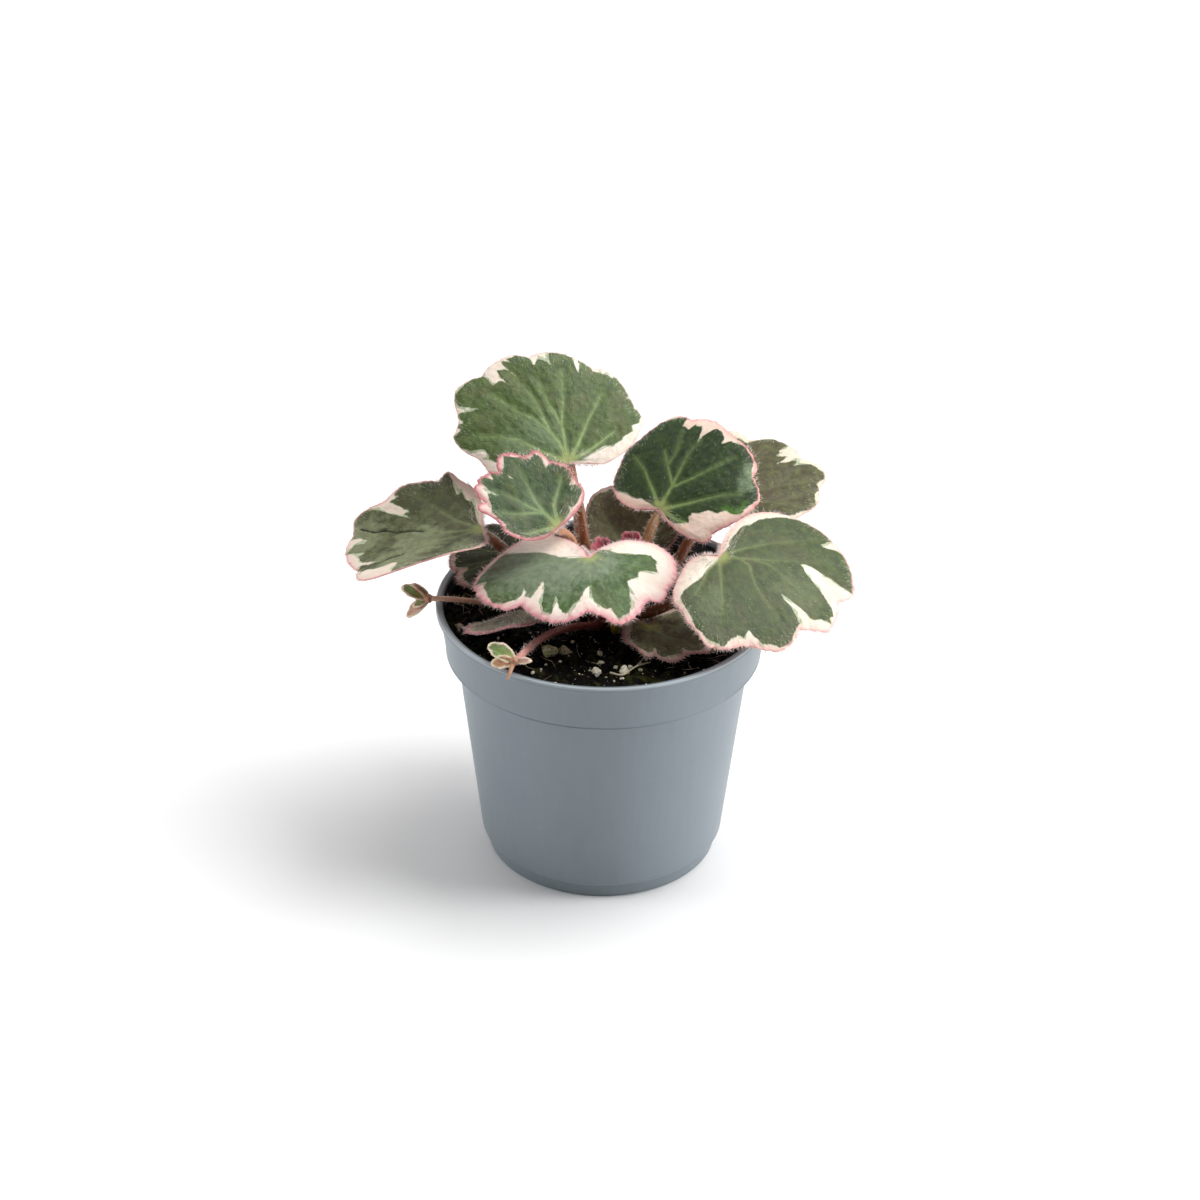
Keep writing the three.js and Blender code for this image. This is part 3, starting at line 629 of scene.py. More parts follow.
def frames_along(path):
    """Headings of a path and two directions square to it that don't twist."""
    heading = unit(np.gradient(path, axis=0))
    side = np.cross(heading[0], [0.3, 0.2, 1.0])
    sides = []
    for direction in heading:
        side = side - (side @ direction) * direction
        side = side / np.linalg.norm(side)
        sides.append(side)
    sides = np.array(sides)
    return heading, sides, np.cross(heading, sides)


def tube(path, radii, sides):
    """A closed tube with rounded ends."""
    heading, one, two = frames_along(path)
    count = len(path)
    angles = np.arange(sides) * 2 * np.pi / sides
    ring = np.cos(angles)[None, :, None] * one[:, None, :] + np.sin(angles)[None, :, None] * two[:, None, :]
    radii = np.broadcast_to(radii, (count,))
    points = (path[:, None, :] + radii[:, None, None] * ring).reshape(-1, 3)
    first = path[0] - 0.6 * radii[0] * heading[0]
    last = path[-1] + 0.6 * radii[-1] * heading[-1]
    points = np.vstack([points, first, last])
    return points, ring_faces(count, sides)


# %% Perlite
PERLITE_AT = [(-13.3, -19.5, 1.7), (-9.6, -18.6, 1.6), (-1.8, -28.3, 1.2), (5.1, -28.2, 1.2),
              (-36.2, -7.5, 0.8)]
MOSSY_LUMPS = 2
GRAINS = 420
GRAIN_REACH = 38.5
FULL_TURN = 6.283
perlite_draw = np.random.default_rng(71)
grains = [(GRAIN_REACH * math.sqrt(a) * math.cos(FULL_TURN * b),
           GRAIN_REACH * math.sqrt(a) * math.sin(FULL_TURN * b),
           0.12 + 0.6 * c ** 6) for a, b, c in perlite_draw.uniform(0, 1, (GRAINS, 3))]
fine_ball, coarse_ball = ball(3), ball(2)
lumps = []
mossy = []
for number, (x, y, radius) in enumerate(PERLITE_AT + grains):
    shape, faces = fine_ball if radius > 0.5 else coarse_ball
    lump = knobbly(shape, perlite_draw, 0.45 if radius > 1 else 0.6)
    stretch = perlite_draw.uniform(0.8, 1.15, 3)
    lump = lump * radius * (1.0 if radius > 1 else stretch * (1.1, 1.0, 0.85))
    level = SOIL_LEVEL + float(soil_relief(np.array(x), np.array(y)))
    lumps.append((lump + (x, y, level + 0.4 * radius), faces))
    mossy += [float(number < MOSSY_LUMPS)] * len(lump)


def perlite_finish():
    """Chalky white with yellowish pits, and a film of algae on the first lumps."""
    f = Finish("perlite", roughness=0.8, Subsurface_Weight=0.15, Subsurface_Radius=(0.0006, 0.0006, 0.0005))
    where = f.place()
    pit = f.cells(where, 0.35)
    cloud = f.patches(where, 6.5, 0.45, 0.62, detail=2)
    tint = f.mix(f.step(pit, 0.1, 0.6), colour("#dcd0a4"), colour("#fff9e6"))
    spots = f.patches(where, 0.7, 0.44, 0.54, detail=4)
    algae = f.plus(f.times(cloud, 0.08), f.times(f.times(f.value("mossy"), spots), 0.8))
    f.paint(f.over(tint, algae, "#a6ae3c"))
    f.bump(pit, 0.5)
    return f


make_piece("perlite", [skinned(stack(lumps), perlite_finish(), mossy=mossy)])
print("perlite lumps:", len(lumps))

# %% Root fibres and slivers of bark
ROOTLET = smooth_path([(1.7, -29.1, 67.4), (4.6, -30.4, 67.6), (8.1, -26.2, 67.5), (11.6, -24.7, 67.9)], 0.7)
ROOTLET_FORK = smooth_path([(8.1, -26.2, 67.5), (9.6, -23.6, 67.8), (10.8, -20.5, 68.0)], 0.7)
SCRAPS = 90
SCRAP_REACH = 37
SCRAP_LIMIT = 38.8
fibre_draw = np.random.default_rng(12)


def scrap_knots(draw):
    """Four points of a bent scrap that lies on the crumbs, clear of the pot's wall."""
    away = SCRAP_REACH * math.sqrt(draw.uniform(0.06, 1))
    angle = draw.uniform(0, 2 * math.pi)
    turn = draw.uniform(0, 2 * math.pi)
    length = draw.uniform(1.6, 6.5)
    bend = draw.uniform(-0.5, 0.5)
    knots = []
    for share in (-0.5, -0.1, 0.25, 0.5):
        x = away * math.cos(angle) + length * share * math.cos(turn + bend * share)
        y = away * math.sin(angle) + length * share * math.sin(turn + bend * share)
        fit = min(1.0, SCRAP_LIMIT / math.hypot(x, y))
        level = SOIL_LEVEL + 0.9 * float(soil_relief(np.array(x), np.array(y)))
        knots.append((x * fit, y * fit, level + draw.uniform(0.0, 0.7)))
    return knots


fibres = [tube(ROOTLET, np.linspace(0.28, 0.18, len(ROOTLET)), 6), tube(ROOTLET_FORK, 0.16, 6)]
slivers = []
for number in range(SCRAPS):
    path = smooth_path(scrap_knots(fibre_draw), 0.6)
    thin = number % 3 > 0
    radii = (0.07 if thin else 0.2) * np.sin(np.linspace(0.5, math.pi - 0.3, len(path)))
    (fibres if thin else slivers).append(tube(path, radii, 5))
fibre = mottled("root_fibre", 2.5, "#8f7a58", "#e6dcc2", roughness=0.6)
fibre.bump(fibre.noise(fibre.place(), 0.3), 0.05)
bark = mottled("bark", 1.2, "#2c1e14", "#5a4431", roughness=0.75)
bark.bump(bark.noise(bark.place(), 0.3), 0.1)
make_piece("soil_fibres", [skinned(stack(fibres), fibre), skinned(stack(slivers), bark)])

# %% [markdown]
# ## The shape of a leaf
# Every blade follows one formula. The blade is flat at first: its outline is a list of angles and
# reaches round the point where the stalk joins, 0 degrees being the tip. Then it is arched along and
# across, rippled at the margin, and turned to face the way the leaf faces. Working in this flat frame has
# a great advantage: veins, colour zones and distances are all worked out there, before the bending.

# %% Reach of the outline
def outline_reach(outline, angles):
    """Smooth reach between the keys: a notch is a sharp corner, a crest is level, and the rest flows."""
    key = np.array(outline, float)
    chord = np.diff(key[:, 1]) / np.diff(key[:, 0])
    last = len(key) - 1
    slope = np.zeros(last + 1)
    notch = np.zeros(last + 1, bool)
    for i in range(1, last):
        before, here, after = key[i - 1:i + 2, 1]
        notch[i] = here < before and here < after
        if not (here >= before and here >= after):
            slope[i] = (after - before) / (key[i + 1, 0] - key[i - 1, 0])
    i = np.clip(np.searchsorted(key[:, 0], angles, side="right") - 1, 0, last - 1)
    span = key[i + 1, 0] - key[i, 0]
    s = np.clip((angles - key[i, 0]) / span, 0, 1)
    leaving = np.where(i == 0, chord[i], np.where(notch[i], 1.5 * chord[i], slope[i]))
    arriving = np.where(i + 1 == last, chord[i], np.where(notch[i + 1], 1.5 * chord[i], slope[i + 1]))
    blend = 3 * s ** 2 - 2 * s ** 3
    return ((1 - blend) * key[i, 1] + blend * key[i + 1, 1]
            + (s ** 3 - 2 * s ** 2 + s) * span * leaving + (s ** 3 - s ** 2) * span * arriving)


def leaf_axes(aim):
    """Directions of a blade: towards its tip, to its left, and up out of its face."""
    azimuth, rise, roll = np.radians(aim)
    tip = np.array([math.cos(azimuth) * math.cos(rise), math.sin(azimuth) * math.cos(rise), math.sin(rise)])
    level = np.array([-math.sin(azimuth), math.cos(azimuth), 0])
    left = level * math.cos(roll) + np.cross(tip, level) * math.sin(roll)
    return tip, left, np.cross(tip, left)


# a blade's bends, along it and across it, raise or lower it by bend * distance ** 2 / BEND_LENGTH
BEND_LENGTH = 25


def lay_on_leaf(leaf, flat, lift):
    """Takes flat points (along, across) to their place in space, lifted off the face by lift mm."""
    tip, left, up = leaf_axes(leaf["aim"])
    along, across = flat[:, 0], flat[:, 1]
    bend_along, bend_across = leaf["bend"][0] / BEND_LENGTH, leaf["bend"][1] / BEND_LENGTH
    reach = np.hypot(along, across)
    angles = np.degrees(np.arctan2(across, along))
    share = np.clip(reach / outline_reach(leaf["outline"], angles), 0, 1.05)
    ripple = leaf["ripple"] * share ** 3 * np.cos(np.radians(6 * angles))
    height = bend_along * along ** 2 + bend_across * across ** 2 + ripple
    normal = unit(up - 2 * bend_along * along[:, None] * tip - 2 * bend_across * across[:, None] * left)
    place = np.array(leaf["at"]) + along[:, None] * tip + across[:, None] * left + height[:, None] * up
    return place + np.asarray(lift).reshape(-1, 1) * normal, normal


# %% [markdown]
# ## The leaves' measures
# These repeat the measured model: where each blade is joined, which way it aims (azimuth, rise and roll),
# how it arches, its outline, and the way its stalk takes from the crown. To them comes the green patch:
# the tissue inside is green, and the rest of the blade is cream. Its edge is a list of angles and shares
# of the reach, and a share over 1 runs the green out over the margin. Colours are named for what they
# tint; grey, ribs and flush say how strongly a finish shows, and net is the size of a mesh cell. The paler
# grey-green tint is the leaf's bloom in random patches, and painted sheen at the listed spots of (angle,
# reach, radius). Pale under 1 lays a brown over the cream: painted shade, for leaves that sit in shadow.

# %% What holds for a leaf whose measures say nothing else
THICKNESS = 0.7
HABIT = dict(
    green=None, veins=None, creases=(), sheen_spots=(), accents=(), haze=0.2, net=0.61, thickness=THICKNESS,
    relief=1.0, ripple=0.35, vein_width=1.0, ribs=0.5, rib_reach=34, shine=0.4, matt=0.26, flush=0.55,
    pale=1.0, fringe=2.6, down=0.06, hair=1.0, olive="#6a6844", bloom_and_sheen_tint="#7f8c76", vein="#93a872",
    heart="#a9ad62", fleck="#a9b394", accent="#4f7d1c", stubble="#b4bda8", cream=("#f0e6da", "#eedccb"),
    pink=("#b9566a", "#db9298"))

# %% Measures of the tall leaves
TALL, LOW = (1.6, 1.3), (1.15, 0.95)
INNER, OUTER = 3.8, 7.2
LEAVES = {
    "rear_high": dict(
        at=(-9.1, 13, 103.5), aim=(110, 46, -4), bend=(-0.1, -0.12), root=(112, INNER),
        via=[(-4.1, 6.5, 80.1), (-6.3, 11, 91.2), (-8.1, 13, 98.5)], stalk=(1.45, 1.15),
        outline=[
            (-102, 8), (-71, 23), (-59, 24), (-34, 28), (-28, 27), (-1, 30.5), (6, 30), (16, 32.5),
            (23, 32.5), (30, 31.5), (42, 34), (56, 29.5), (64, 29.5), (71, 26.5), (76, 22.5), (86, 20),
            (103, 15), (120, 8)],
        green=[
            (0, 0), (-95, .03), (-87, .24), (-75, .43), (-76, .52), (-80, .64), (-77, .77), (-74, .73),
            (-73, .87), (-69, .84), (-70, .93), (-66, 1.04), (-61, .98), (-57, 1.04), (-53, .96), (-52, 1.04),
            (-42, 1.04), (-39, .97), (-28, .98), (-26, 1.04), (-19, 1.04), (-20, .87), (-17, .93),
            (-15, 1.04), (-6, 1.04), (-4, .98), (-4, .87), (-2, .91), (2, .96), (5, .91), (5, .97),
            (10, 1.04), (13, .98), (16, .98), (14, .92), (18, .98), (19, .96), (16, .78), (19, .9), (23, .93),
            (24, .89), (23, .78), (25, .84), (30, .88), (29, .94), (30, 1.04), (47, 1.04), (49, .96),
            (46, .8), (54, 1.04), (56, .96), (59, 1.04), (60, .96), (66, 1.04), (70, 1.04), (71, .94),
            (69, .78), (73, .8), (76, .92), (78, .84), (84, .8), (103, .72), (120, .6)],
        veins=[[(0, 0), (13, 6.4), (18, 9.1), (25, 14.8), (30, 17), (34, 26)],
               [(18, 9.1), (14, 18.4), (18, 28)], [(0, 0), (-3, 10), (-9, 17.3), (-10, 25)],
               [(0, 0), (-39, 6.7), (-37, 12.6), (-38, 21)],
               [(0, 0), (57, 7.9), (53, 13.5), (58, 19), (62, 25)], [(0, 0), (-70, 7), (-66, 15)],
               [(-3, 10), (5, 17), (6, 24)]],
        sheen_spots=[(40, 9, 7), (62, 14, 5)], accents=[(84, 17, 2)], leaf="#566b33", deep="#425526",
        bloom_and_sheen_tint="#728a64", grey=0.5, vein="#a5bd7c", ribs=0.55, rib_reach=30, pink=("#d6a097", "#eccabd"),
        rim=0.3, flush=0.4, teeth=0.12, net=0.51),
    "mid_small": dict(
        at=(-11.3, -3.5, 94), aim=(155, 39, -23), bend=(0.05, 0.1), root=(172, INNER),
        via=[(-6.4, 4.2, 78.3), (-8.2, 6.5, 84.3), (-10.2, 4, 88.2)], stalk=(1.3, 1.05),
        outline=[
            (-97, 3), (-87, 10.5), (-76, 13), (-67, 13.5), (-53, 16.5), (-39, 17.5), (-30, 20.5), (-20, 19.5),
            (-3, 23), (5, 20.5), (20, 23.5), (25, 23.5), (31, 20), (37, 22), (40, 19), (46, 16), (57, 14.5),
            (87, 3.5)],
        green=[
            (0, 0), (-97, .2), (-82, .43), (-72, .48), (-80, .51), (-83, .69), (-78, .94), (-72, 1),
            (-62, .8), (-62, 1), (-58, 1), (-53, .95), (-39, .98), (-34, .8), (-32, .91), (-28, .97),
            (-22, .93), (-20, 1), (-16, .96), (-9, .95), (-6, 1), (2, .9), (4, .97), (1, .74), (4, .91),
            (10, 1), (13, .91), (14, .98), (19, .98), (22, .86), (22, .74), (24, .86), (33, .87), (37, .83),
            (49, .91), (53, .98), (64, .91), (69, .93), (72, .83), (87, .6)],
        veins=[[(0, 0), (2, 4.9), (13, 8.8), (16, 14), (20, 19)], [(3, 5.3), (-2, 9), (-6, 12), (-10, 18)],
               [(8, 5.7), (34, 12.4), (38, 17)], [(0, 0), (-34, 5.8), (-46, 9.7), (-50, 13)],
               [(0, 0), (60, 5), (62, 9)]],
        sheen_spots=[(5, 9, 4)], leaf="#3e5625", deep="#293e18", bloom_and_sheen_tint="#5f7656", grey=0.45, ribs=0.65,
        rib_reach=19, pink=("#ab4f5c", "#cc8486"), rim=0.95, flush=0.75, teeth=0.42, net=0.44),
    "right_high": dict(
        at=(13.8, 14, 89.7), aim=(39, 35, 13), bend=(-0.15, -0.2), root=(24, INNER),
        via=[(6.8, 4.2, 77), (10.3, 7, 83.2), (12, 10.5, 86.4)], stalk=TALL,
        outline=[
            (-109, 4), (-90, 15), (-76, 16), (-52, 23.5), (-43, 25.5), (-29, 25), (-24, 27), (-5, 28),
            (2, 28), (18, 30), (28, 29), (34, 30.5), (57, 24.5), (67, 23), (75, 20.5), (98, 15.5),
            (122, 6.5)],
        green=[
            (0, 0), (-87, .07), (-103, .55), (-95, .48), (-84, .5), (-79, .56), (-72, .48), (-67, .48),
            (-62, .43), (-60, .51), (-55, .57), (-59, .72), (-56, .71), (-55, .76), (-57, .87), (-56, .93),
            (-49, .94), (-45, .99), (-38, 1), (-28, .97), (-20, .99), (-11, .99), (-7, .97), (-2, .94),
            (1, .86), (2, .92), (8, .95), (11, .93), (15, .8), (16, .62), (17, .76), (19, .89), (22, .9),
            (23, .93), (26, .86), (28, .89), (31, .88), (29, 1.04), (47, 1.04), (69, 1.04), (96, 1.04),
            (98, .9), (96, .67), (98, .57), (97, .44), (91, .33), (105, .05)],
        veins=[[(0, 0), (56, 4.4), (60, 9.8), (60, 13.3), (64, 19)],
               [(0, 0), (14, 7.5), (33, 13.2), (39, 18.2)], [(14, 7.5), (17, 17.2), (15, 22.7)],
               [(13, 6.9), (-4, 11.3), (-9, 15.7), (-12, 24)],
               [(0, 0), (-48, 2.4), (-42, 8.1), (-39, 16.3), (-40, 21)], [(33, 13.2), (28, 18), (30, 25)],
               [(0, 0), (-85, 6), (-80, 10)]],
        sheen_spots=[(-25, 25, 3), (-34, 22.5, 3)], haze=0.05, accents=[(-51, 19, 3.4)], leaf="#2c4413",
        deep="#1b2e09", bloom_and_sheen_tint="#7e9470", grey=0.7, olive="#33461a", vein="#8fa963", ribs=0.62,
        accent="#456f1a", rib_reach=25, matt=0.28, shine=0.32, cream=("#f3dccb", "#efd0bd"),
        pink=("#cf7a80", "#e8ada6"), rim=0.65, flush=0.7, teeth=0.2, net=0.51),
    "front": dict(
        at=(-3.8, -8, 88.4), aim=(-94, -6, 0), bend=(-0.25, -0.2), root=(252, INNER),
        via=[(-2.4, -5.6, 78), (-3.4, -7.3, 84.5)], stalk=TALL,
        outline=[
            (-150, 6), (-137, 15.5), (-102, 24), (-78, 29), (-50, 25.5), (-45, 22), (-20, 22.5), (4, 18.5),
            (14, 20), (24, 22.5), (50, 20), (59, 22.5), (69, 21.5), (100, 22), (123, 19), (131, 16),
            (141, 13), (152, 3.5)],
        green=[
            (-53, .03), (-73, .12), (-86, .26), (-99, .51), (-101, .9), (-99, .93), (-82, .97), (-79, 1),
            (-77, .88), (-73, .93), (-59, .98), (-55, .96), (-50, .87), (-50, .81), (-55, .7), (-51, .73),
            (-48, .8), (-44, .88), (-50, .55), (-43, .67), (-33, .86), (-28, .92), (-22, .92), (-27, .69),
            (-18, .84), (-12, .92), (-9, .81), (-5, .76), (1, .6), (6, .57), (7, .77), (10, .85), (18, .86),
            (22, .81), (23, .88), (25, .96), (34, .91), (40, .83), (51, .64), (58, .59), (65, .63), (72, .61),
            (79, .66), (82, .8), (91, .75), (96, .76), (104, .71), (105, .33), (120, .29), (139, .27),
            (143, .2), (51, .03)],
        veins=[[(0, 0), (-42, 9.9), (-47, 17.1), (-44, 21)], [(0, 0), (6, 7.3), (8, 12.3), (14, 17)],
               [(0, 0), (45, 8), (42, 14.6), (40, 18)], [(0, 0), (-76, 9), (-82, 18), (-84, 24)],
               [(0, 0), (80, 8), (84, 14)], [(-20, 7), (-22, 12), (-20, 18)]],
        sheen_spots=[(-84, 14, 12), (-98, 20, 10), (-60, 8, 9), (30, 4, 6)], leaf="#4f6b32", deep="#3a5424",
        bloom_and_sheen_tint="#84907a", grey=0.72, haze=0.35, vein="#8ba371", ribs=0.2, rib_reach=20, fringe=4,
        pink=("#cf727e", "#eba8ac"), rim=1.0, flush=0.75, teeth=0.3, net=0.49),
    "left": dict(
        at=(-30.4, 0, 91.3), aim=(-172, -2, -3), bend=(-0.15, 0.4), root=(180, OUTER),
        via=[(-12.5, 2, 74.3), (-19, 3.4, 78.8), (-25, 4, 82.9), (-28.1, 2.4, 86.8)], stalk=TALL,
        outline=[
            (-95, 10), (-88, 14.5), (-77, 17.5), (-71, 20.5), (-61, 19.5), (-52, 23), (-44, 26.5), (-34, 29),
            (-30, 32), (-24, 34.5), (-17, 33.5), (-11, 35), (9, 32.5), (17, 34), (28, 31.5), (40, 22),
            (55, 16.5), (75, 11), (92, 6)],
        green=[
            (0, 0), (-95, .1), (-70, .13), (-82, .52), (-81, .64), (-74, .6), (-74, .73), (-68, .68),
            (-71, .97), (-67, 1.04), (-61, 1.04), (-45, 1.04), (-39, .97), (-39, .92), (-35, .94), (-33, .69),
            (-30, .69), (-27, .58), (-30, .97), (-28, 1.04), (-15, 1.04), (-14, .91), (-12, .84), (-10, .86),
            (-11, .93), (-7, 1), (-3, .86), (-2, .92), (5, .93), (10, .82), (9, .9), (7, .95), (9, 1),
            (13, .96), (20, .74), (23, .72), (29, .87), (32, 1), (42, 1.04), (72, 1.04), (92, .9)],
        veins=[[(0, 0), (17, 7.6), (9, 16.3), (13, 22), (16, 29)],
               [(0, 0), (-4, 8.3), (-15, 17.3), (-16, 28)], [(0, 0), (-38, 8), (-44, 16), (-46, 23)],
               [(-10, 12), (-28, 20), (-30, 26)], [(0, 0), (45, 8), (42, 15)]],
        creases=[[(-13, 15), (-15, 18), (-14.5, 22), (-17.5, 25), (-17, 28), (-19.5, 32)],
                 [(13, 21), (11, 24), (11.5, 27), (8.5, 30), (9, 33)]],
        sheen_spots=[(20, 24, 8), (60, 9, 5), (-14, 31, 7), (5, 16, 8)], leaf="#555b34", deep="#3c4123",
        bloom_and_sheen_tint="#868c69", grey=0.7, olive="#534f33", ribs=0.25, rib_reach=24, cream=("#e2d3c4", "#decab9"),
        pink=("#c67c82", "#e6b4ae"), rim=0.5, flush=0.65, teeth=0.15, net=0.51),
    "right": dict(
        at=(28.4, -10, 89.9), aim=(-36, -18, 9), bend=(-0.15, -0.12), root=(-30, OUTER),
        via=[(9.6, -8.6, 72.2), (17.7, -10.5, 77.1), (23.8, -10.5, 83.2)], stalk=TALL,
        outline=[
            (-139, 4), (-107, 11.5), (-90, 18), (-78, 20), (-72, 22), (-64, 24), (-56, 27), (-49, 27),
            (-40, 26), (-33, 26), (-16, 29), (-1, 27), (4, 29), (12, 32.5), (21, 32.5), (30, 32), (39, 36),
            (55, 35.5), (79, 30.5), (100, 21), (117, 4.5)],
        green=[
            (0, 0), (-64, .06), (-84, .52), (-88, .77), (-86, .9), (-66, .97), (-57, .95), (-49, .97),
            (-46, .94), (-39, .88), (-36, .93), (-31, .84), (-26, .95), (-19, .96), (-18, .98), (-10, 1),
            (-6, .96), (1, .94), (6, .73), (7, .63), (11, .53), (12, .49), (9, .88), (13, .89), (15, 1),
            (17, .95), (20, .97), (24, .93), (34, .71), (39, .63), (46, .59), (47, .63), (38, .9), (37, 1.02),
            (48, 1.04), (57, 1.04), (60, .85), (62, .86), (64, 1), (73, 1), (80, .97), (85, .92), (94, .78),
            (96, .64), (101, .62), (103, .35), (95, .19), (91, .11)],
        veins=[[(0, 0), (69, 7.8), (67, 16.6), (65, 23.9), (66, 29)],
               [(0, 0), (41, 5.3), (45, 13.2), (48, 21.3)],
               [(41, 5.3), (26, 8), (2, 11), (-4, 14.1), (-8, 22)],
               [(0, 0), (-48, 6.1), (-48, 13.6), (-50, 21)], [(43, 9), (38, 13), (23, 21.6), (22, 28)],
               [(48, 21.3), (50, 30)], [(0, 0), (-80, 6), (-76, 14)]],
        sheen_spots=[(20, 22, 7), (-60, 14, 5)], leaf="#4b5a2d", deep="#394621", bloom_and_sheen_tint="#6f7a55", grey=0.4,
        olive="#5b5532", vein="#8d9c60", ribs=0.32, rib_reach=27, cream=("#ece0d0", "#e6d2c0"), fringe=4.5,
        pink=("#dd9a98", "#eec2b8"), rim=0.75, flush=0.65, teeth=0.22, net=0.51),
    "rear_right": dict(
        at=(33.5, 22, 88.2), aim=(42, 10, 12), bend=(-0.1, -0.1), root=(14, OUTER),
        via=[(12, 5, 72.5), (18.3, 9, 76.8), (21.9, 14, 80.8), (27.6, 19, 84.5)], stalk=TALL,
        outline=[
            (-105, 9), (-80, 14), (-58, 17), (-36, 22), (-24, 23.5), (-16, 27), (-8, 28), (4, 25.5),
            (14, 28.5), (26, 29.5), (33, 27.5), (38, 26.5), (45, 30), (58, 28), (68, 24.5), (84, 22),
            (100, 15), (115, 7)],
        green=[
            (0, 0), (-105, .5), (-88, .6), (-76, .75), (-66, .88), (-54, .95), (-45, 1), (-40, 1), (-30, .94),
            (-25, 1), (-21, .93), (-17, 1), (-13, 1), (-5, .94), (-1, .88), (0, .8), (3, .95), (10, .67),
            (10, .85), (16, .75), (15, .83), (17, .84), (16, 1.04), (23, 1.04), (33, .98), (38, .93),
            (50, .94), (66, .9), (84, .86), (100, .7), (115, .5)],
        leaf="#5a5b2e", deep="#423f20", olive="#57462c", grey=0.15, ribs=0.12, cream=("#e6d6c2", "#e0cab4"),
        pink=("#d49a8c", "#eecab6"), rim=0.35, teeth=0.2),
}

# %% Measures of the low and rear leaves
LEAVES.update({
    "rear_low": dict(
        at=(5.6, 10, 78.2), aim=(92, 22, 0), bend=(0, -0.1), root=(66, OUTER),
        via=[(4.2, 8.6, 73.5)], stalk=LOW,
        outline=[
            (-115, 5), (-95, 9), (-77, 11), (-65, 14.5), (-48, 20), (-40, 21.5), (-33, 20.5), (-18, 24),
            (-9, 24.5), (-2, 23), (7, 23.5), (20, 22.5), (26, 20.8), (33, 18.4), (45, 14.8), (60, 12.4),
            (85, 9.5), (115, 4.8)],
        leaf="#615e3a", deep="#4a4529", olive="#4e3f2c", grey=0.1, ribs=0.15, band=1.1, rim=0.6,
        pink=("#a56a66", "#c08e86"), teeth=0.25, pale=0.5),
    # Painted shade: this leaf sits in the shadow of the front and left leaves, and its greens are darkened to
    # near black for it.
    "left_low": dict(
        at=(-22.3, 13, 76.1), aim=(172, 0, 0), bend=(-0.1, -0.1), root=(150, OUTER),
        via=[(-12, 7.6, 71.6), (-18, 11, 73.6)], stalk=LOW,
        outline=[
            (-110, 8), (-90, 13.5), (-76, 17), (-61, 21.5), (-48, 20), (-40, 17.5), (-28, 18), (-15, 15.5),
            (2, 17.5), (19, 17.5), (27, 16), (53, 18.5), (63, 17.5), (72, 14), (84, 13), (100, 9), (115, 5)],
        leaf="#33361c", deep="#202412", olive="#2c2817", grey=0.05, ribs=0.1, shine=0.15, matt=0.45, band=1.3,
        rim=0.6, pink=("#8a5c58", "#a9827a"), teeth=0.25, pale=0.3),
    "front_right_low": dict(
        at=(11.6, -13, 71.8), aim=(-50, -2, 0), bend=(-0.1, -0.1), root=(302, OUTER),
        via=[(6.6, -9.4, 69.6), (9.2, -11.3, 69.8)], stalk=LOW,
        outline=[
            (-172, 3.5), (-159, 5.5), (-118, 7), (-60, 11), (-42, 13.5), (-35, 12.5), (-16, 16), (-4, 15),
            (5, 16), (15, 17.5), (23, 17.5), (40, 16), (50, 14.5), (70, 15.5), (97, 12), (121, 6.5)],
        green=[
            (0, 0), (-172, .4), (-142, .7), (-100, .68), (-81, .82), (-64, .94), (-43, .91), (-37, .89),
            (-33, .76), (-32, .89), (-28, .97), (-7, .93), (0, .8), (1, .9), (6, .95), (13, .92), (30, .94),
            (50, .9), (70, .92), (97, .85), (121, .5)],
        leaf="#6b6a49", deep="#504f37", olive="#5e5238", grey=0.15, ribs=0.12, shine=0.2, matt=0.4, rim=0.8,
        pink=("#b9807a", "#d4a29a"), teeth=0.3, pale=0.55),
    "front_left_low": dict(
        at=(-17.8, -13.6, 75.1), aim=(185, -13, 20), bend=(0, -0.1), root=(227, OUTER),
        via=[(-10.8, -9.2, 72.2)], stalk=LOW,
        outline=[
            (-118, 4.3), (-90, 7.5), (-58, 9.9), (-42, 12.2), (-34, 11.8), (-18, 16), (-6, 17.4), (2, 16.5),
            (12, 17.4), (22, 16), (33, 14.1), (40, 12.7), (60, 11.3), (90, 8.9), (118, 4.3)],
        leaf="#98957c", deep="#74705c", grey=0.3, bloom_and_sheen_tint="#b4ad9c", ribs=0.0, band=0.8, rim=1.8, shine=0.2,
        flush=0.8, pink=("#b26a74", "#cf9096"), teeth=0.25, pale=0.6, down=1.6, fringe=4),
    "rear_behind": dict(
        at=(-8.9, 38, 91.5), aim=(110, 12, 0), bend=(-0.2, -0.15), root=(93, OUTER),
        via=[(-3.6, 10.5, 73.5), (-6.1, 15, 78.6), (-7.4, 27, 86)], stalk=(1.25, 1),
        outline=[
            (-128, 5), (-105, 10), (-80, 12), (-70, 12.5), (-55, 18), (-48, 17), (-30, 22), (-22, 24),
            (-15, 23), (0, 26), (8, 25.5), (14, 24), (30, 25), (42, 22), (48, 20.5), (68, 19.5), (92, 15),
            (112, 11), (128, 5)],
        leaf="#535a3c", deep="#40462e", grey=0.2, ribs=0.3, band=2.0, rim=0.4, teeth=0.2),
    "rear_right_low": dict(
        at=(19.5, 33, 82), aim=(70, 8, 4), bend=(-0.15, -0.15), root=(42, OUTER),
        via=[(7.6, 11, 72.6), (13.5, 22, 77.5)], stalk=(1.3, 1),
        outline=[
            (-125, 4.5), (-100, 9), (-75, 13), (-60, 15.5), (-52, 15), (-34, 20), (-24, 22), (-17, 21),
            (-2, 24), (8, 25), (15, 23.5), (32, 22), (44, 20), (52, 17), (72, 15), (98, 11), (125, 4.5)],
        leaf="#504e38", deep="#3e3c2c", grey=0.15, ribs=0.25, band=1.6, rim=0.4, teeth=0.2, pale=0.8),
})
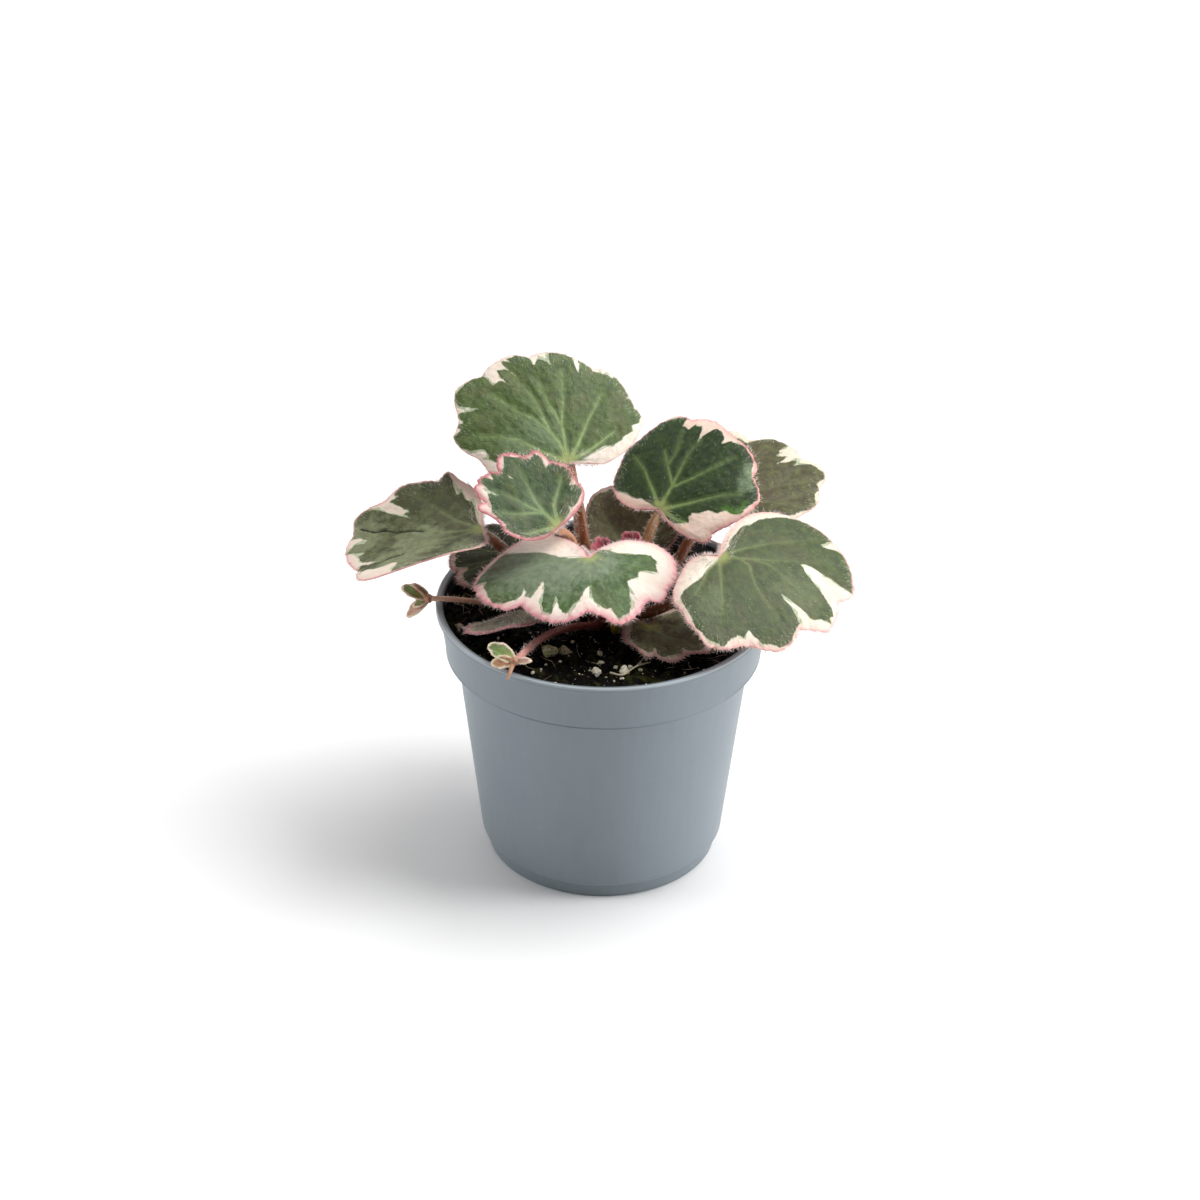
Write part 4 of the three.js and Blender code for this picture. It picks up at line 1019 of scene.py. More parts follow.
LEAVES = {name: {**HABIT, **measures} for name, measures in LEAVES.items()}
print("leaves:", len(LEAVES))

# %% [markdown]
# ## Green patch and veins where nothing is listed
# Leaves at the back are mostly hidden in the reference, so they take the habit of their neighbours: a
# cream band along the margin with a wedge of cream that runs in from each notch, and one vein to each
# lobe with a fork on the way. Both come from the outline itself, with a seeded draw for variety.

# %% Habit of the other leaves
def crests_and_notches(outline):
    inner = range(1, len(outline) - 1)
    reach = [key[1] for key in outline]
    crests = [outline[i][0] for i in inner if reach[i] >= reach[i - 1] and reach[i] >= reach[i + 1]]
    notches = [outline[i][0] for i in inner if reach[i] < reach[i - 1] and reach[i] < reach[i + 1]]
    return crests, notches


def habit_green(leaf, draw):
    outline = leaf["outline"]
    _, notches = crests_and_notches(outline)
    angles = np.arange(outline[0][0], outline[-1][0] + 1, 4.0)
    shares = 1 - leaf["band"] * draw.uniform(0.5, 1.4, len(angles)) / outline_reach(outline, angles)
    for notch in notches:
        depth = draw.uniform(0.12, 0.34)
        shares -= depth * np.clip(1 - np.abs(angles - notch + draw.uniform(-3, 3)) / draw.uniform(4, 8), 0, 1)
    return [(0, 0), *zip(angles, shares)]


def habit_veins(leaf, draw):
    outline = leaf["outline"]
    first, last = outline[0][0], outline[-1][0]
    veins = []
    for angle in np.linspace(first + 22, last - 22, 6) + draw.uniform(-4, 4, 6):
        reach = float(outline_reach(outline, np.array([angle]))[0])
        bend = draw.uniform(-6, 6)
        veins.append([(0, 0), (angle + bend, 0.3 * reach), (angle, 0.6 * reach),
                      (angle - bend / 2, 0.85 * reach)])
        veins.append([(angle, 0.45 * reach), (angle + 9, 0.65 * reach), (angle + 11, 0.85 * reach)])
    return veins


def flat_path(keys, outline=None):
    """Angle and reach pairs as flat points; with an outline, the reaches are shares of its own."""
    key = np.array(keys, float)
    reach = key[:, 1]
    if outline is not None:
        inside = np.clip(key[:, 0], outline[0][0], outline[-1][0])
        reach = reach * outline_reach(outline, inside)
    turns = np.radians(key[:, 0])
    return np.c_[reach * np.cos(turns), reach * np.sin(turns)]


def inside_path(points, path):
    """True for flat points inside a closed path, by counting crossings."""
    inside = np.zeros(len(points), bool)
    for (x1, y1), (x2, y2) in zip(path, np.roll(path, -1, axis=0)):
        crosses = (y1 > points[:, 1]) != (y2 > points[:, 1])
        with np.errstate(divide="ignore", invalid="ignore"):
            at = (x2 - x1) * (points[:, 1] - y1) / (y2 - y1) + x1
        inside ^= crosses & (points[:, 0] < at)
    return inside


# %% [markdown]
# ## Leaf finishes
# The upper face is built from the inside out: green tissue with darker and paler patches and silvery
# hairs' bases, pale veins, then a half-green seam, then cream, then pink along the rim. The edge of each
# zone is a distance in the flat leaf, nudged by a noise that is stretched along the veins, which gives
# the fine streaks of the real variegation. Painted light goes over it: paler grey-green sheen at listed
# spots, painted shade in the grooves between the quilted domes and in the creases, and a brown painted
# shade over the cream of leaves in shadow. The under face is rosy, with paler veins.

# %% The upper face
def upper_finish(name, leaf):
    f = Finish(name, roughness=0.45, Specular_IOR_Level=leaf["shine"], Subsurface_Weight=0.06,
               Subsurface_Radius=(0.0009, 0.0007, 0.0004))
    plane, rays = f.vector("plane"), f.vector("rays")
    zone, rim, reach, gap = [f.value(key) for key in ("zone", "rim", "reach", "vein_gap")]
    broad = f.noise(plane, 7, detail=3)
    blotch = f.noise(plane, 2.4, detail=6, roughness=0.7)
    fine = f.noise(plane, 0.7, detail=4, roughness=0.65)
    streak = f.noise(rays, 1.0, detail=6, roughness=0.7)
    comb = f.noise(f.stretch(rays, (4.5, 4.0, 1)), 1.0, detail=2)
    quilt = f.cells(plane, 1.5, feature="SMOOTH_F1")
    green = f.mix(f.step(blotch, 0.42, 0.58), colour(leaf["deep"]), colour(leaf["leaf"]))
    green = f.over(green, f.step(broad, 0.47, 0.62), leaf["olive"], 0.4)
    green = f.over(green, f.step(streak, 0.46, 0.66), leaf["deep"], 0.4)
    # Paler grey-green: the leaf's bloom in random patches, and painted sheen at the listed spots.
    bloomed = f.plus(f.value("bloomed"), f.shifted(blotch, 1.0), f.shifted(streak, 0.7))
    green = f.over(green, f.step(bloomed, 0.35, 0.85), leaf["bloom_and_sheen_tint"], leaf["grey"])
    # Painted shade: the grooves between the quilted domes of the bump are painted a darker green.
    green = f.over(green, f.step(quilt, 0.3, 0.6), leaf["deep"], 0.25)
    green = f.over(green, f.step(fine, 0.56, 0.7), leaf["deep"], 0.3)
    green = f.over(green, f.step(comb, 0.6, 0.72), leaf["fleck"], 0.12)
    if leaf["accents"]:
        bright = f.step(f.frayed(f.value("accent"), blotch, 1.2), 0.35, 0.6)
        green = f.over(green, bright, leaf["accent"], f.step(f.frayed(zone, fine, 3.0), 2.4, 0.4))
    green = f.over(green, f.step(gap, 1.1, 0.0), leaf["vein"], 0.25 * leaf["ribs"])
    ribs = f.times(f.step(f.frayed(gap, fine, 0.5), 0.25, -0.2), f.step(reach, leaf["rib_reach"], 2))
    green = f.over(green, ribs, leaf["vein"], leaf["ribs"])
    green = f.over(green, f.step(f.frayed(reach, fine, 1.5), 4.0, 0.5), leaf["heart"], 0.7)
    edge = f.plus(zone, f.shifted(streak, 1.9), f.shifted(fine, 0.8))
    cream = f.mix(f.step(broad, 0.35, 0.7), *map(colour, leaf["cream"]))
    cream = f.over(cream, f.step(streak, 0.5, 0.7), "#e3dcc4", 0.2)
    seam = f.mix(f.step(fine, 0.4, 0.6), colour("#98a384"), colour("#bcc2a4"))
    seam_width = f.plus(0.1, f.times(f.patches(rays, 1.4, 0.5, 0.66, detail=2), 0.9))
    skin = f.mix(f.step(f.plus(edge, seam_width), 0.1, -0.1), seam, cream)
    skin = f.mix(f.step(edge, -0.06, 0.14), skin, green)
    is_cream = f.step(edge, 0.2, -0.2)
    stubble = f.times(f.step(comb, 0.52, 0.64), f.step(rim, 2.8, 0.2))
    skin = f.over(skin, stubble, leaf["stubble"], 0.3)
    width = leaf["rim"]
    margin = f.frayed(rim, f.noise(plane, 1.7, detail=4), 1.5 * width)
    margin = f.step(margin, 0.95 * width + 0.05, 0.05 * width)
    flush = f.times(margin, f.plus(f.times(is_cream, 0.3), leaf["flush"]))
    skin = f.mix(flush, skin, f.mix(f.patches(plane, 1.6, 0.35, 0.65), *map(colour, leaf["pink"])))
    blush = f.times(f.step(f.frayed(rim, blotch, 2.0), 3.2 * width, 0.4), 0.5 * min(1.0, width))
    skin = f.over(skin, is_cream, leaf["pink"][1], blush)
    # Painted shade: on leaves that sit in shadow, the cream is dulled with a brown shade.
    if leaf["pale"] < 1:
        skin = f.over(skin, is_cream, "#6d4a47", 1 - leaf["pale"])
    # Painted shade: the creases are painted almost black, as the shade in the folds.
    skin = f.over(skin, f.step(f.frayed(f.value("crease"), fine, 1.3), 0.4, 0.65), "#22271a", 0.9)
    f.paint(skin)
    f.rough(f.plus(f.times(fine, 0.3), f.times(blotch, 0.15), leaf["matt"]))
    relief = f.plus(f.times(fine, 0.4), f.times(blotch, 0.7), f.times(quilt, -0.9))
    f.bump(f.plus(relief, f.times(streak, 0.5), f.times(comb, 0.25)), 0.3, strength=0.8)
    return f


# %% The under face
def under_finish(name, rose, dusky):
    f = Finish(name, roughness=0.55, Specular_IOR_Level=0.3, Subsurface_Weight=0.12,
               Subsurface_Radius=(0.0012, 0.0007, 0.0005), Sheen_Weight=0.15, Sheen_Roughness=0.5)
    plane, rays = f.vector("plane"), f.vector("rays")
    broad, fine = f.noise(plane, 6), f.noise(plane, 0.8, detail=4)
    streak = f.noise(rays, 1.0, detail=4)
    edge = f.frayed(f.value("zone"), streak, 1.8)
    skin = f.mix(f.step(broad, 0.35, 0.65), colour(rose), colour(dusky))
    skin = f.over(skin, f.step(fine, 0.5, 0.8), "#c29490", 0.3)
    skin = f.over(skin, f.value("vein"), "#c9a08e", 0.6)
    skin = f.mix(f.step(edge, 0.2, -0.4), skin, f.mix(broad, colour("#e7c4bb"), colour("#e0aca8")))
    skin = f.over(skin, f.step(f.value("rim"), 1.0, 0.0), "#d98f93", 0.6)
    f.paint(skin)
    f.bump(f.plus(fine, f.times(f.cells(plane, 0.55), 0.5)), 0.15, strength=0.8)
    return f


leaf_under = under_finish("leaf_under", "#a5736c", "#8c6a5c")
bristle = mottled("bristle", 3.0, "#e6d6cc", "#f7f1ea", roughness=0.45, Subsurface_Weight=0.2,
                  Subsurface_Radius=(0.0004, 0.0003, 0.0002))
rosy_bristle = mottled("rosy_bristle", 2.5, "#e3bfb8", "#f4e9e3", roughness=0.45)

# %% [markdown]
# ## Blades
# A blade is two faces of the same net, an upper and an under one, joined round the margin by a rounded
# rim. The net is a fan of rays crossed by rings, fine enough to carry sharp colour edges and the relief:
# tissue swells a little between the veins, and the veins stand out under the leaf. It is 0.7 mm thick in
# the middle and thins out to the margin, where small teeth break the line between the lobes.

# %% The net of a blade
RIM_THICKNESS = 0.36
BEAD = 0.14
TEETH_WAVES = (3.4, 2.3, 1.5)


def margin_teeth(angles, outline, size, draw):
    """The reach at each angle, with small teeth that fade out beside the stalk."""
    teeth = np.zeros(len(angles))
    for wave in TEETH_WAVES:
        teeth += np.sin(np.radians(angles) * 2 * np.pi * 26 / wave + draw.uniform(0, 6.3))
    first, last = outline[0][0], outline[-1][0]
    fade = smooth_step(angles, first, first + 12) * smooth_step(angles, last, last - 12)
    return outline_reach(outline, angles) + size * fade * (np.abs(teeth / 3) ** 0.8 * np.sign(teeth) - 0.35)


def blade_net(leaf, draw):
    """Flat points on rays and rings, their numbers by ring and ray, and the numbers round the margin."""
    outline = leaf["outline"]
    first, last = outline[0][0], outline[-1][0]
    widest = max(reach for _, reach in outline)
    rays = int(math.radians(last - first) * widest / leaf["net"]) + 1
    rings = int(widest / leaf["net"])
    angles = np.linspace(first, last, rays)
    reach = (np.arange(1, rings + 1) / rings)[:, None] * margin_teeth(angles, outline, leaf["teeth"], draw)
    turns = np.radians(angles)
    flat = np.vstack([[0, 0], np.c_[(reach * np.cos(turns)).ravel(), (reach * np.sin(turns)).ravel()]])
    at = np.arange(1, rings * rays + 1).reshape(rings, rays)
    return flat, at, np.r_[0, at[:-1, 0], at[-1], at[-2::-1, -1]]


def blade_faces(at, loop, size):
    """Faces of the upper and of the under side, each with its half of the rounded rim."""
    rings, rays = at.shape
    upper = [[0, at[0, k], at[0, k + 1]] for k in range(rays - 1)]
    for ring in range(rings - 1):
        for k in range(rays - 1):
            upper.append([at[ring, k], at[ring + 1, k], at[ring + 1, k + 1], at[ring, k + 1]])
    under = [[corner + size for corner in face[::-1]] for face in upper]
    for k, here in enumerate(loop):
        after = (k + 1) % len(loop)
        there, bead, next_bead = loop[after], 2 * size + k, 2 * size + after
        upper.append([there, here, bead, next_bead])
        under.append([next_bead, bead, here + size, there + size])
    return upper, under


# %% Zones and relief of a blade
# how far the nearest vein is taken to be where none is near
FAR = 9.0


def spots(flat, places, ground):
    """A value that rises from the ground level to 1 at each (angle, reach, radius)."""
    height = np.full(len(flat), ground)
    for angle, reach, radius in places:
        away = np.hypot(*(flat - flat_path([(angle, reach)])[0]).T)
        height = np.maximum(height, ground + (1 - ground) * np.exp(-(away / radius) ** 2))
    return height


def blade_values(leaf, flat, loop, draw):
    """What the finishes read at each point, and how far each point is from a vein's middle."""
    green = flat_path(leaf["green"] or habit_green(leaf, draw), leaf["outline"])
    zone = distance_to_path(flat, np.vstack([green, green[:1]]))
    reach = np.hypot(flat[:, 0], flat[:, 1])
    vein, crease = np.zeros(len(flat)), np.zeros(len(flat))
    valley = gap = np.full(len(flat), FAR)
    for keys in leaf["veins"] or habit_veins(leaf, draw):
        away = distance_to_path(flat, flat_path(keys))
        width = 0.4 + 0.9 * np.exp(-reach / 6)
        fade = 0.2 + 0.8 * np.exp(-reach / 11)
        vein = np.maximum(vein, (1 - smooth_step(away, 0.1 * width, width)) * fade)
        valley = np.minimum(valley, away)
        gap = np.minimum(gap, away - leaf["vein_width"] * (0.16 + 0.5 * np.exp(-reach / 7)))
    for keys in leaf["creases"]:
        crease = np.maximum(crease, 1 - smooth_step(distance_to_path(flat, flat_path(keys)), 0.1, 0.5))
    turn = np.arctan2(flat[:, 1], flat[:, 0])
    return valley, {
        "rim": distance_to_path(flat, flat[np.r_[loop, 0]]),
        "zone": np.where(inside_path(flat, green), zone, -zone),
        "vein": vein, "vein_gap": gap, "reach": reach, "crease": crease,
        # paler grey-green at the listed spots is painted sheen; the haze under it is the leaf's bloom
        "bloomed": spots(flat, leaf["sheen_spots"], leaf["haze"]), "accent": spots(flat, leaf["accents"], 0.0),
        "rays": np.c_[turn * 13, reach * 0.16, np.full(len(flat), draw.uniform(0, 50))],
        "plane": np.c_[flat, np.full(len(flat), draw.uniform(0, 50))]}


def blade_lifts(leaf, valley, values):
    """How far the upper and the under face stand off the bent sheet."""
    relief, rim = leaf["relief"], values["rim"]
    swell = relief * (0.26 * (1 - np.exp(-(valley / 1.6) ** 2)) - 0.14) * smooth_step(rim, 0.0, 3.0 * relief)
    curl = -0.22 * relief * (1 - smooth_step(rim, 0.0, 1.4 * relief))
    upper = swell + curl - 0.5 * values["crease"]
    thickness = RIM_THICKNESS + (leaf["thickness"] - RIM_THICKNESS) * smooth_step(rim, 0.0, 2.2 * relief)
    return upper, upper - thickness - 0.3 * relief * values["vein"] * smooth_step(rim, 0.0, 2.0)


# %% Build one blade
def blade_part(leaf, finish, under, draw):
    """A blade, and what its bristles need to know of it."""
    flat, at, loop = blade_net(leaf, draw)
    valley, values = blade_values(leaf, flat, loop, draw)
    upper_lift, under_lift = blade_lifts(leaf, valley, values)
    upper, normal = lay_on_leaf(leaf, flat, upper_lift)
    lower, _ = lay_on_leaf(leaf, flat, under_lift)
    middle = (upper[loop] + lower[loop]) / 2
    heading = np.roll(middle, -1, axis=0) - np.roll(middle, 1, axis=0)
    outward = unit(np.cross(heading, normal[loop]))
    middle = middle + BEAD * outward
    upper_faces, under_faces = blade_faces(at, loop, len(flat))
    spread = {key: np.concatenate([v, v, v[loop]]) for key, v in values.items()}
    net = {"flat": flat, "loop": loop, "upper": upper, "lower": lower, "middle": middle, "outward": outward,
           "normal": normal, "rim": values["rim"], "reach": values["reach"]}
    groups = [(finish, upper_faces), (under, under_faces)]
    return part(np.vstack([upper, lower, middle]), groups, **spread), net


# %% [markdown]
# ## Bristles
# Almost every part of the plant is set with stiff pale hairs, one to two millimetres long: along the
# margins, over both faces, and thickest on the stalks. Blender's hair curves would be quicker, but they
# aren't part of the exported mesh. A slim three-sided spike for each hair is, and costs four triangles.

# %% Spikes
FOOT_DEPTH = 0.12
THIRDS = (0, 2.094, 4.189)
FRINGE_BASE, STEM_BASE, UPPER_BASE, UNDER_BASE = 0.07, 0.075, 0.035, 0.045


def spikes(roots, headings, draw, spread, lengths, base):
    """Slim three-sided closed spikes, each leaning a little its own way and sunk a little at its foot."""
    headings = unit(headings + draw.normal(0, spread, (len(roots), 3)))
    lengths = draw.uniform(*lengths, len(roots))
    roots = roots - FOOT_DEPTH * headings
    helper = np.where(np.abs(headings[:, 2:3]) < 0.8, [[0.0, 0.0, 1.0]], [[1.0, 0.0, 0.0]])
    one = unit(np.cross(headings, helper))
    two = np.cross(headings, one)
    corners = [roots + base * (math.cos(a) * one + math.sin(a) * two) for a in THIRDS]
    points = np.stack([*corners, roots + headings * lengths[:, None]], axis=1).reshape(-1, 3)
    start = 4 * np.arange(len(roots))[:, None]
    faces = (start + [0, 1, 3, 1, 2, 3, 2, 0, 3, 0, 2, 1]).reshape(-1, 3)
    return points, faces.tolist()


def blade_bristles(net, leaf, draw, fringe=bristle):
    """Two parts: hairs that stand out from the margin, and those combed outward near it or on the faces."""
    loop, rim, reach, normal = net["loop"], net["rim"], net["reach"], net["normal"]
    hair = np.array(leaf["hair"])
    edge_length = len(loop) * leaf["net"]
    chosen = draw.integers(0, len(loop), int(leaf["fringe"] * edge_length))
    margin = spikes(net["middle"][chosen], net["outward"][chosen] + 0.25 * normal[loop][chosen], draw, 0.3,
                    hair * (0.7, 1.6), FRINGE_BASE)
    tip, left, _ = leaf_axes(leaf["aim"])
    turn = np.arctan2(net["flat"][:, 1], net["flat"][:, 0])[:, None]
    outward = np.cos(turn) * tip + np.sin(turn) * left
    near = np.flatnonzero((rim > 0.2) & (rim < 3.2 * hair) & (reach > 3))
    near = draw.choice(near, int(0.8 * leaf["fringe"] * edge_length)) if len(near) else near
    combed = spikes(net["upper"][near], outward[near] + 0.45 * normal[near], draw, 0.16,
                    hair * (0.6, 1.3), UPPER_BASE)
    inner = np.flatnonzero(rim > 0.3)
    weights = reach[inner] / reach[inner].sum()
    fan = math.radians(leaf["outline"][-1][0] - leaf["outline"][0][0])
    on_face = 0.5 * fan * reach.max() ** 2 * 0.75 * leaf["down"]
    at = draw.choice(inner, int(on_face), p=weights)
    top = spikes(net["upper"][at], normal[at] + 0.5 * tip, draw, 0.3, hair * (0.4, 0.9), UPPER_BASE)
    at = draw.choice(inner, int(on_face * 0.7), p=weights)
    low = spikes(net["lower"][at], 0.4 * tip - normal[at], draw, 0.3, hair * (0.4, 0.9), UNDER_BASE)
    return [skinned(margin, fringe), skinned(stack([combed, top, low]), bristle)]


# %% Make all blades
for number, (name, leaf) in enumerate(LEAVES.items()):
    draw = np.random.default_rng(200 + number)
    node = f"leaf_{name}_blade"
    blade, net = blade_part(leaf, upper_finish(f"upper_{name}", leaf), leaf_under, draw)
    hairs = blade_bristles(net, leaf, draw, fringe=rosy_bristle)
    make_piece(f"blade_{name}", [blade, *hairs], [node])

# %% [markdown]
# ## Stalks
# A stalk is a round, slightly juicy stem. It springs square from the crown, widens into a sheath at its
# foot, and runs on under the blade as a midrib that melts into the leaf. It is one closed tube along a
# smooth curve, with many small steps so that it bends without kinks. Its colour runs from dark red-brown
# at the foot to a lighter tan near the blade, with fine streaks along it and pale hairs all round.

# %% The way a stalk takes
CROWN_AT = (0, 0.4)
CROWN_RADIUS = 9
CROWN_TOP = 70.6
CROWN_SEAT = 66.7
CLEARANCE = 0.3


def dome_point(azimuth, ring):
    """A point on the crown's dome and the direction square to it."""
    rise = CROWN_TOP - CROWN_SEAT
    lift = math.sqrt(1 - (ring / CROWN_RADIUS) ** 2)
    out = np.array([math.cos(math.radians(azimuth)), math.sin(math.radians(azimuth)), 0])
    point = np.array([*CROWN_AT, CROWN_SEAT + rise * lift]) + ring * out
    return point, unit(ring / CROWN_RADIUS ** 2 * out + np.array([0, 0, lift / rise]))


def stalk_knots(root, via):
    """A stalk's course: square out of the crown's dome, then by way of the given points."""
    point, normal = dome_point(*root)
    return [point - 0.8 * normal, point + CLEARANCE * normal, point + (CLEARANCE + 1.6) * normal, *via]


def stem_part(path, radii, sides, finish, seed):
    """A tube with values for its finish: how far along, and a streak place that follows the stem."""
    steps = np.r_[0, np.cumsum(np.linalg.norm(np.diff(path, axis=0), axis=1))]
    along = np.r_[np.repeat(steps, sides), steps[0], steps[-1]]
    around = np.r_[np.tile(np.arange(sides) * 2 * np.pi / sides, len(path)), 0, 0]
    streaks = np.c_[1.3 * np.cos(around), 1.3 * np.sin(around), 0.12 * along + seed]
    return skinned(tube(path, radii, sides), finish, along=along / steps[-1], streaks=streaks)


def stem_bristles(path, radii, each_mm, draw, length=(0.7, 1.5)):
    """Hairs all round a stem, so many to each mm of its length."""
    heading, one, two = frames_along(path)
    total = np.linalg.norm(np.diff(path, axis=0), axis=1).sum()
    chosen = draw.integers(1, len(path) - 1, int(each_mm * total))
    angle = draw.uniform(0, 2 * np.pi, len(chosen))[:, None]
    out = np.cos(angle) * one[chosen] + np.sin(angle) * two[chosen]
    radii = np.broadcast_to(radii, (len(path),))[chosen][:, None]
    step = np.linalg.norm(path[1] - path[0])
    shift = draw.uniform(-0.5, 0.5, len(chosen))[:, None] * step * heading[chosen]
    return skinned(spikes(path[chosen] + shift + radii * out, out, draw, 0.3, length, STEM_BASE), bristle)


# %% The stalks' skin
def stem_finish(name, foot, middle, top, streak, mottle):
    """Three colours from the foot to the top, with fine streaks and blotches over them."""
    f = Finish(name, roughness=0.42, Specular_IOR_Level=0.45, Subsurface_Weight=0.25,
               Subsurface_Radius=(0.0016, 0.0008, 0.0005), Sheen_Weight=0.25, Sheen_Roughness=0.35,
               Sheen_Tint=(1, 0.88, 0.8, 1))
    streaks, along = f.vector("streaks"), f.value("along")
    lines = f.noise(f.stretch(streaks, (1, 1, 0.5)), 0.5, detail=4)
    blotch = f.noise(streaks, 1.1, detail=3)
    skin = f.mix(f.step(along, 0.0, 0.35), colour(foot), colour(middle))
    skin = f.over(skin, f.step(along, 0.45, 1.0), top)
    skin = f.over(skin, f.step(lines, 0.4, 0.75), streak, 0.45)
    f.paint(f.over(skin, f.step(blotch, 0.5, 0.75), mottle, 0.4))
    f.bump(f.plus(lines, f.times(f.noise(streaks, 0.25), 0.3)), 0.12, strength=0.7)
    return f


brown_stem = stem_finish("stalk_brown", "#5b2a1c", "#7d492b", "#8f5f3a", "#a37b52", "#6a361f")
dark_stem = stem_finish("stalk_dark", "#4a2319", "#633a20", "#74492a", "#8a6644", "#4c2a18")
peach_stem = stem_finish("stalk_peach", "#8e4a3a", "#c48862", "#d8a67f", "#e2bd9c", "#b5704f")
olive_stem = stem_finish("stalk_olive", "#56261a", "#70451a", "#826022", "#997534", "#74341f")
STEM_FINISHES = {"mid_small": peach_stem, "right_high": olive_stem, "left": dark_stem, "rear_low": dark_stem,
                 "left_low": dark_stem, "front_left_low": dark_stem}

# %% Make all stalks
STEM_STEP = 0.9
STEM_SIDES = 20
STEM_HAIRS = 6.5
SHEATH_REACH = 2.2
MIDRIB = [(1.5, 1.25, 1.05), (5, 0.95, 0.65), (9, 0.75, 0.38), (13, 0.62, 0.18)]
RIB_ALONG, RIB_DEPTH, RIB_RADIUS = zip(*MIDRIB)
for number, (name, leaf) in enumerate(LEAVES.items()):
    draw = np.random.default_rng(400 + number)
    _, _, up = leaf_axes(leaf["aim"])
    knots = stalk_knots(leaf["root"], leaf["via"])
    foot, top = leaf["stalk"]
    join = np.array(leaf["at"]) - (THICKNESS + 0.75 * top) * up
    small = min(1.0, max(reach for _, reach in leaf["outline"]) / 30)
    rib_flat = np.array([[small * along, 0.0] for along in RIB_ALONG])
    rib, _ = lay_on_leaf(leaf, rib_flat, -np.array(RIB_DEPTH))
    path = smooth_path([*knots, join, *rib], STEM_STEP)
    join_step = int(np.argmin(np.linalg.norm(path - join, axis=1)))
    share = np.arange(len(path)) / join_step
    radii = foot + (top - foot) * np.clip(share, 0, 1)
    radii *= 1 + 0.45 * np.exp(-np.arange(len(path)) * STEM_STEP / SHEATH_REACH)
    rib_from = np.linalg.norm(path - path[join_step], axis=1) / small
    thin = np.interp(rib_from, [0, *RIB_ALONG], [top, *RIB_RADIUS])
    radii = np.where(share > 1, np.minimum(thin, top), radii)
    stem = stem_part(path, radii, STEM_SIDES, STEM_FINISHES.get(name, brown_stem), 3.0 * number)
    hairs = stem_bristles(path[:join_step], radii[:join_step], STEM_HAIRS, draw)
    node = f"leaf_{name}_petiole"
    make_piece(f"stalk_{name}", [stem, hairs], [node])

# %% [markdown]
# ## Crown, young leaves and bud
# The crown is the short stem that all stalks spring from. It is a low crimson dome, wrinkled by the
# sheaths of old stalks. The two young leaves in the middle are still folded and coloured crimson, and a
# yellow-green bud sits low at the front. They are the same shapes as before, only smaller.

# %% The crown
CROWN_FOOT = [(0, 56), (4, 56), (9, 65.5)]
CROWN_SIDES = 96
crown_profile = np.array(CROWN_FOOT + [
    (CROWN_RADIUS * math.cos(a), CROWN_SEAT + (CROWN_TOP - CROWN_SEAT) * math.sin(a))
    for a in np.linspace(0, math.pi / 2, 24)])
crown_profile[-1, 0] = 0
crown_points, crown_faces = turned(crown_profile, CROWN_SIDES)
crown_turn = np.arctan2(crown_points[:, 1], crown_points[:, 0])
folds = np.sin(13 * crown_turn + 2 * np.sin(0.9 * crown_points[:, 2]))
wrinkle = 1 + 0.035 * folds + 0.02 * np.sin(29 * crown_turn)
crown_points[:, :2] *= wrinkle[:, None]
crown_points += (*CROWN_AT, 0)
crown_skin = Finish("crown_skin", roughness=0.6, Subsurface_Weight=0.1,
                    Subsurface_Radius=(0.001, 0.0004, 0.0003))
where = crown_skin.place()
fleck = crown_skin.noise(where, 0.9, detail=5)
tint = crown_skin.mix(crown_skin.noise(where, 3), colour("#4a1f1c"), colour("#7a3a35"))
crown_skin.paint(crown_skin.over(tint, crown_skin.step(fleck, 0.5, 0.75), "#5c4a30"))
crown_skin.bump(fleck, 0.3)
make_piece("crown_dome", [skinned((crown_points, crown_faces), crown_skin)], ["crown"])

# %% Young leaves
YOUNG_OUTLINE = [(-105, 1.8), (-72, 2.8), (-50, 3.4), (-38, 3.1), (-16, 4.3), (0, 3.9), (16, 4.3), (38, 3.1),
                 (50, 3.4), (72, 2.8), (105, 1.8)]
YOUNG = {
    "young_leaf_1": (
        [(-1.1, 0.6, 70.2), (-1.7, 1.2, 76), (-1.8, 2.8, 80), (-1.3, 3.7, 82.2)], (80, 62, 25), 1),
    "young_leaf_2": (
        [(0.7, 0.2, 70.2), (2, 1.3, 74.5), (5, 3.8, 79.4), (7.4, 5, 82.4)], (95, 66, -20), 1.2),
}
CRIMSON = {**HABIT, **dict(
    leaf="#d03a5c", deep="#a21f40", olive="#b02a4a", bloom_and_sheen_tint="#d65a74", vein="#e08a96", heart="#c04458",
    fleck="#e394a0", stubble="#efb4bb", grey=0.3, band=0.2, rim=0.3, flush=0.3, teeth=0.1, thickness=0.6,
    relief=0.35, ripple=0, net=0.15, vein_width=0.4, ribs=0.3, cream=("#d2506c", "#dc7088"),
    pink=("#c83c5c", "#de6a84"), bend=(1.2, 6), fringe=2, down=0.3, hair=0.6)}
crimson_under = under_finish("young_under", "#b4636a", "#8f4048")
crimson_stem = stem_finish("stalk_young", "#8a3d44", "#b4686c", "#c98b88", "#d7a6a0", "#92424a")
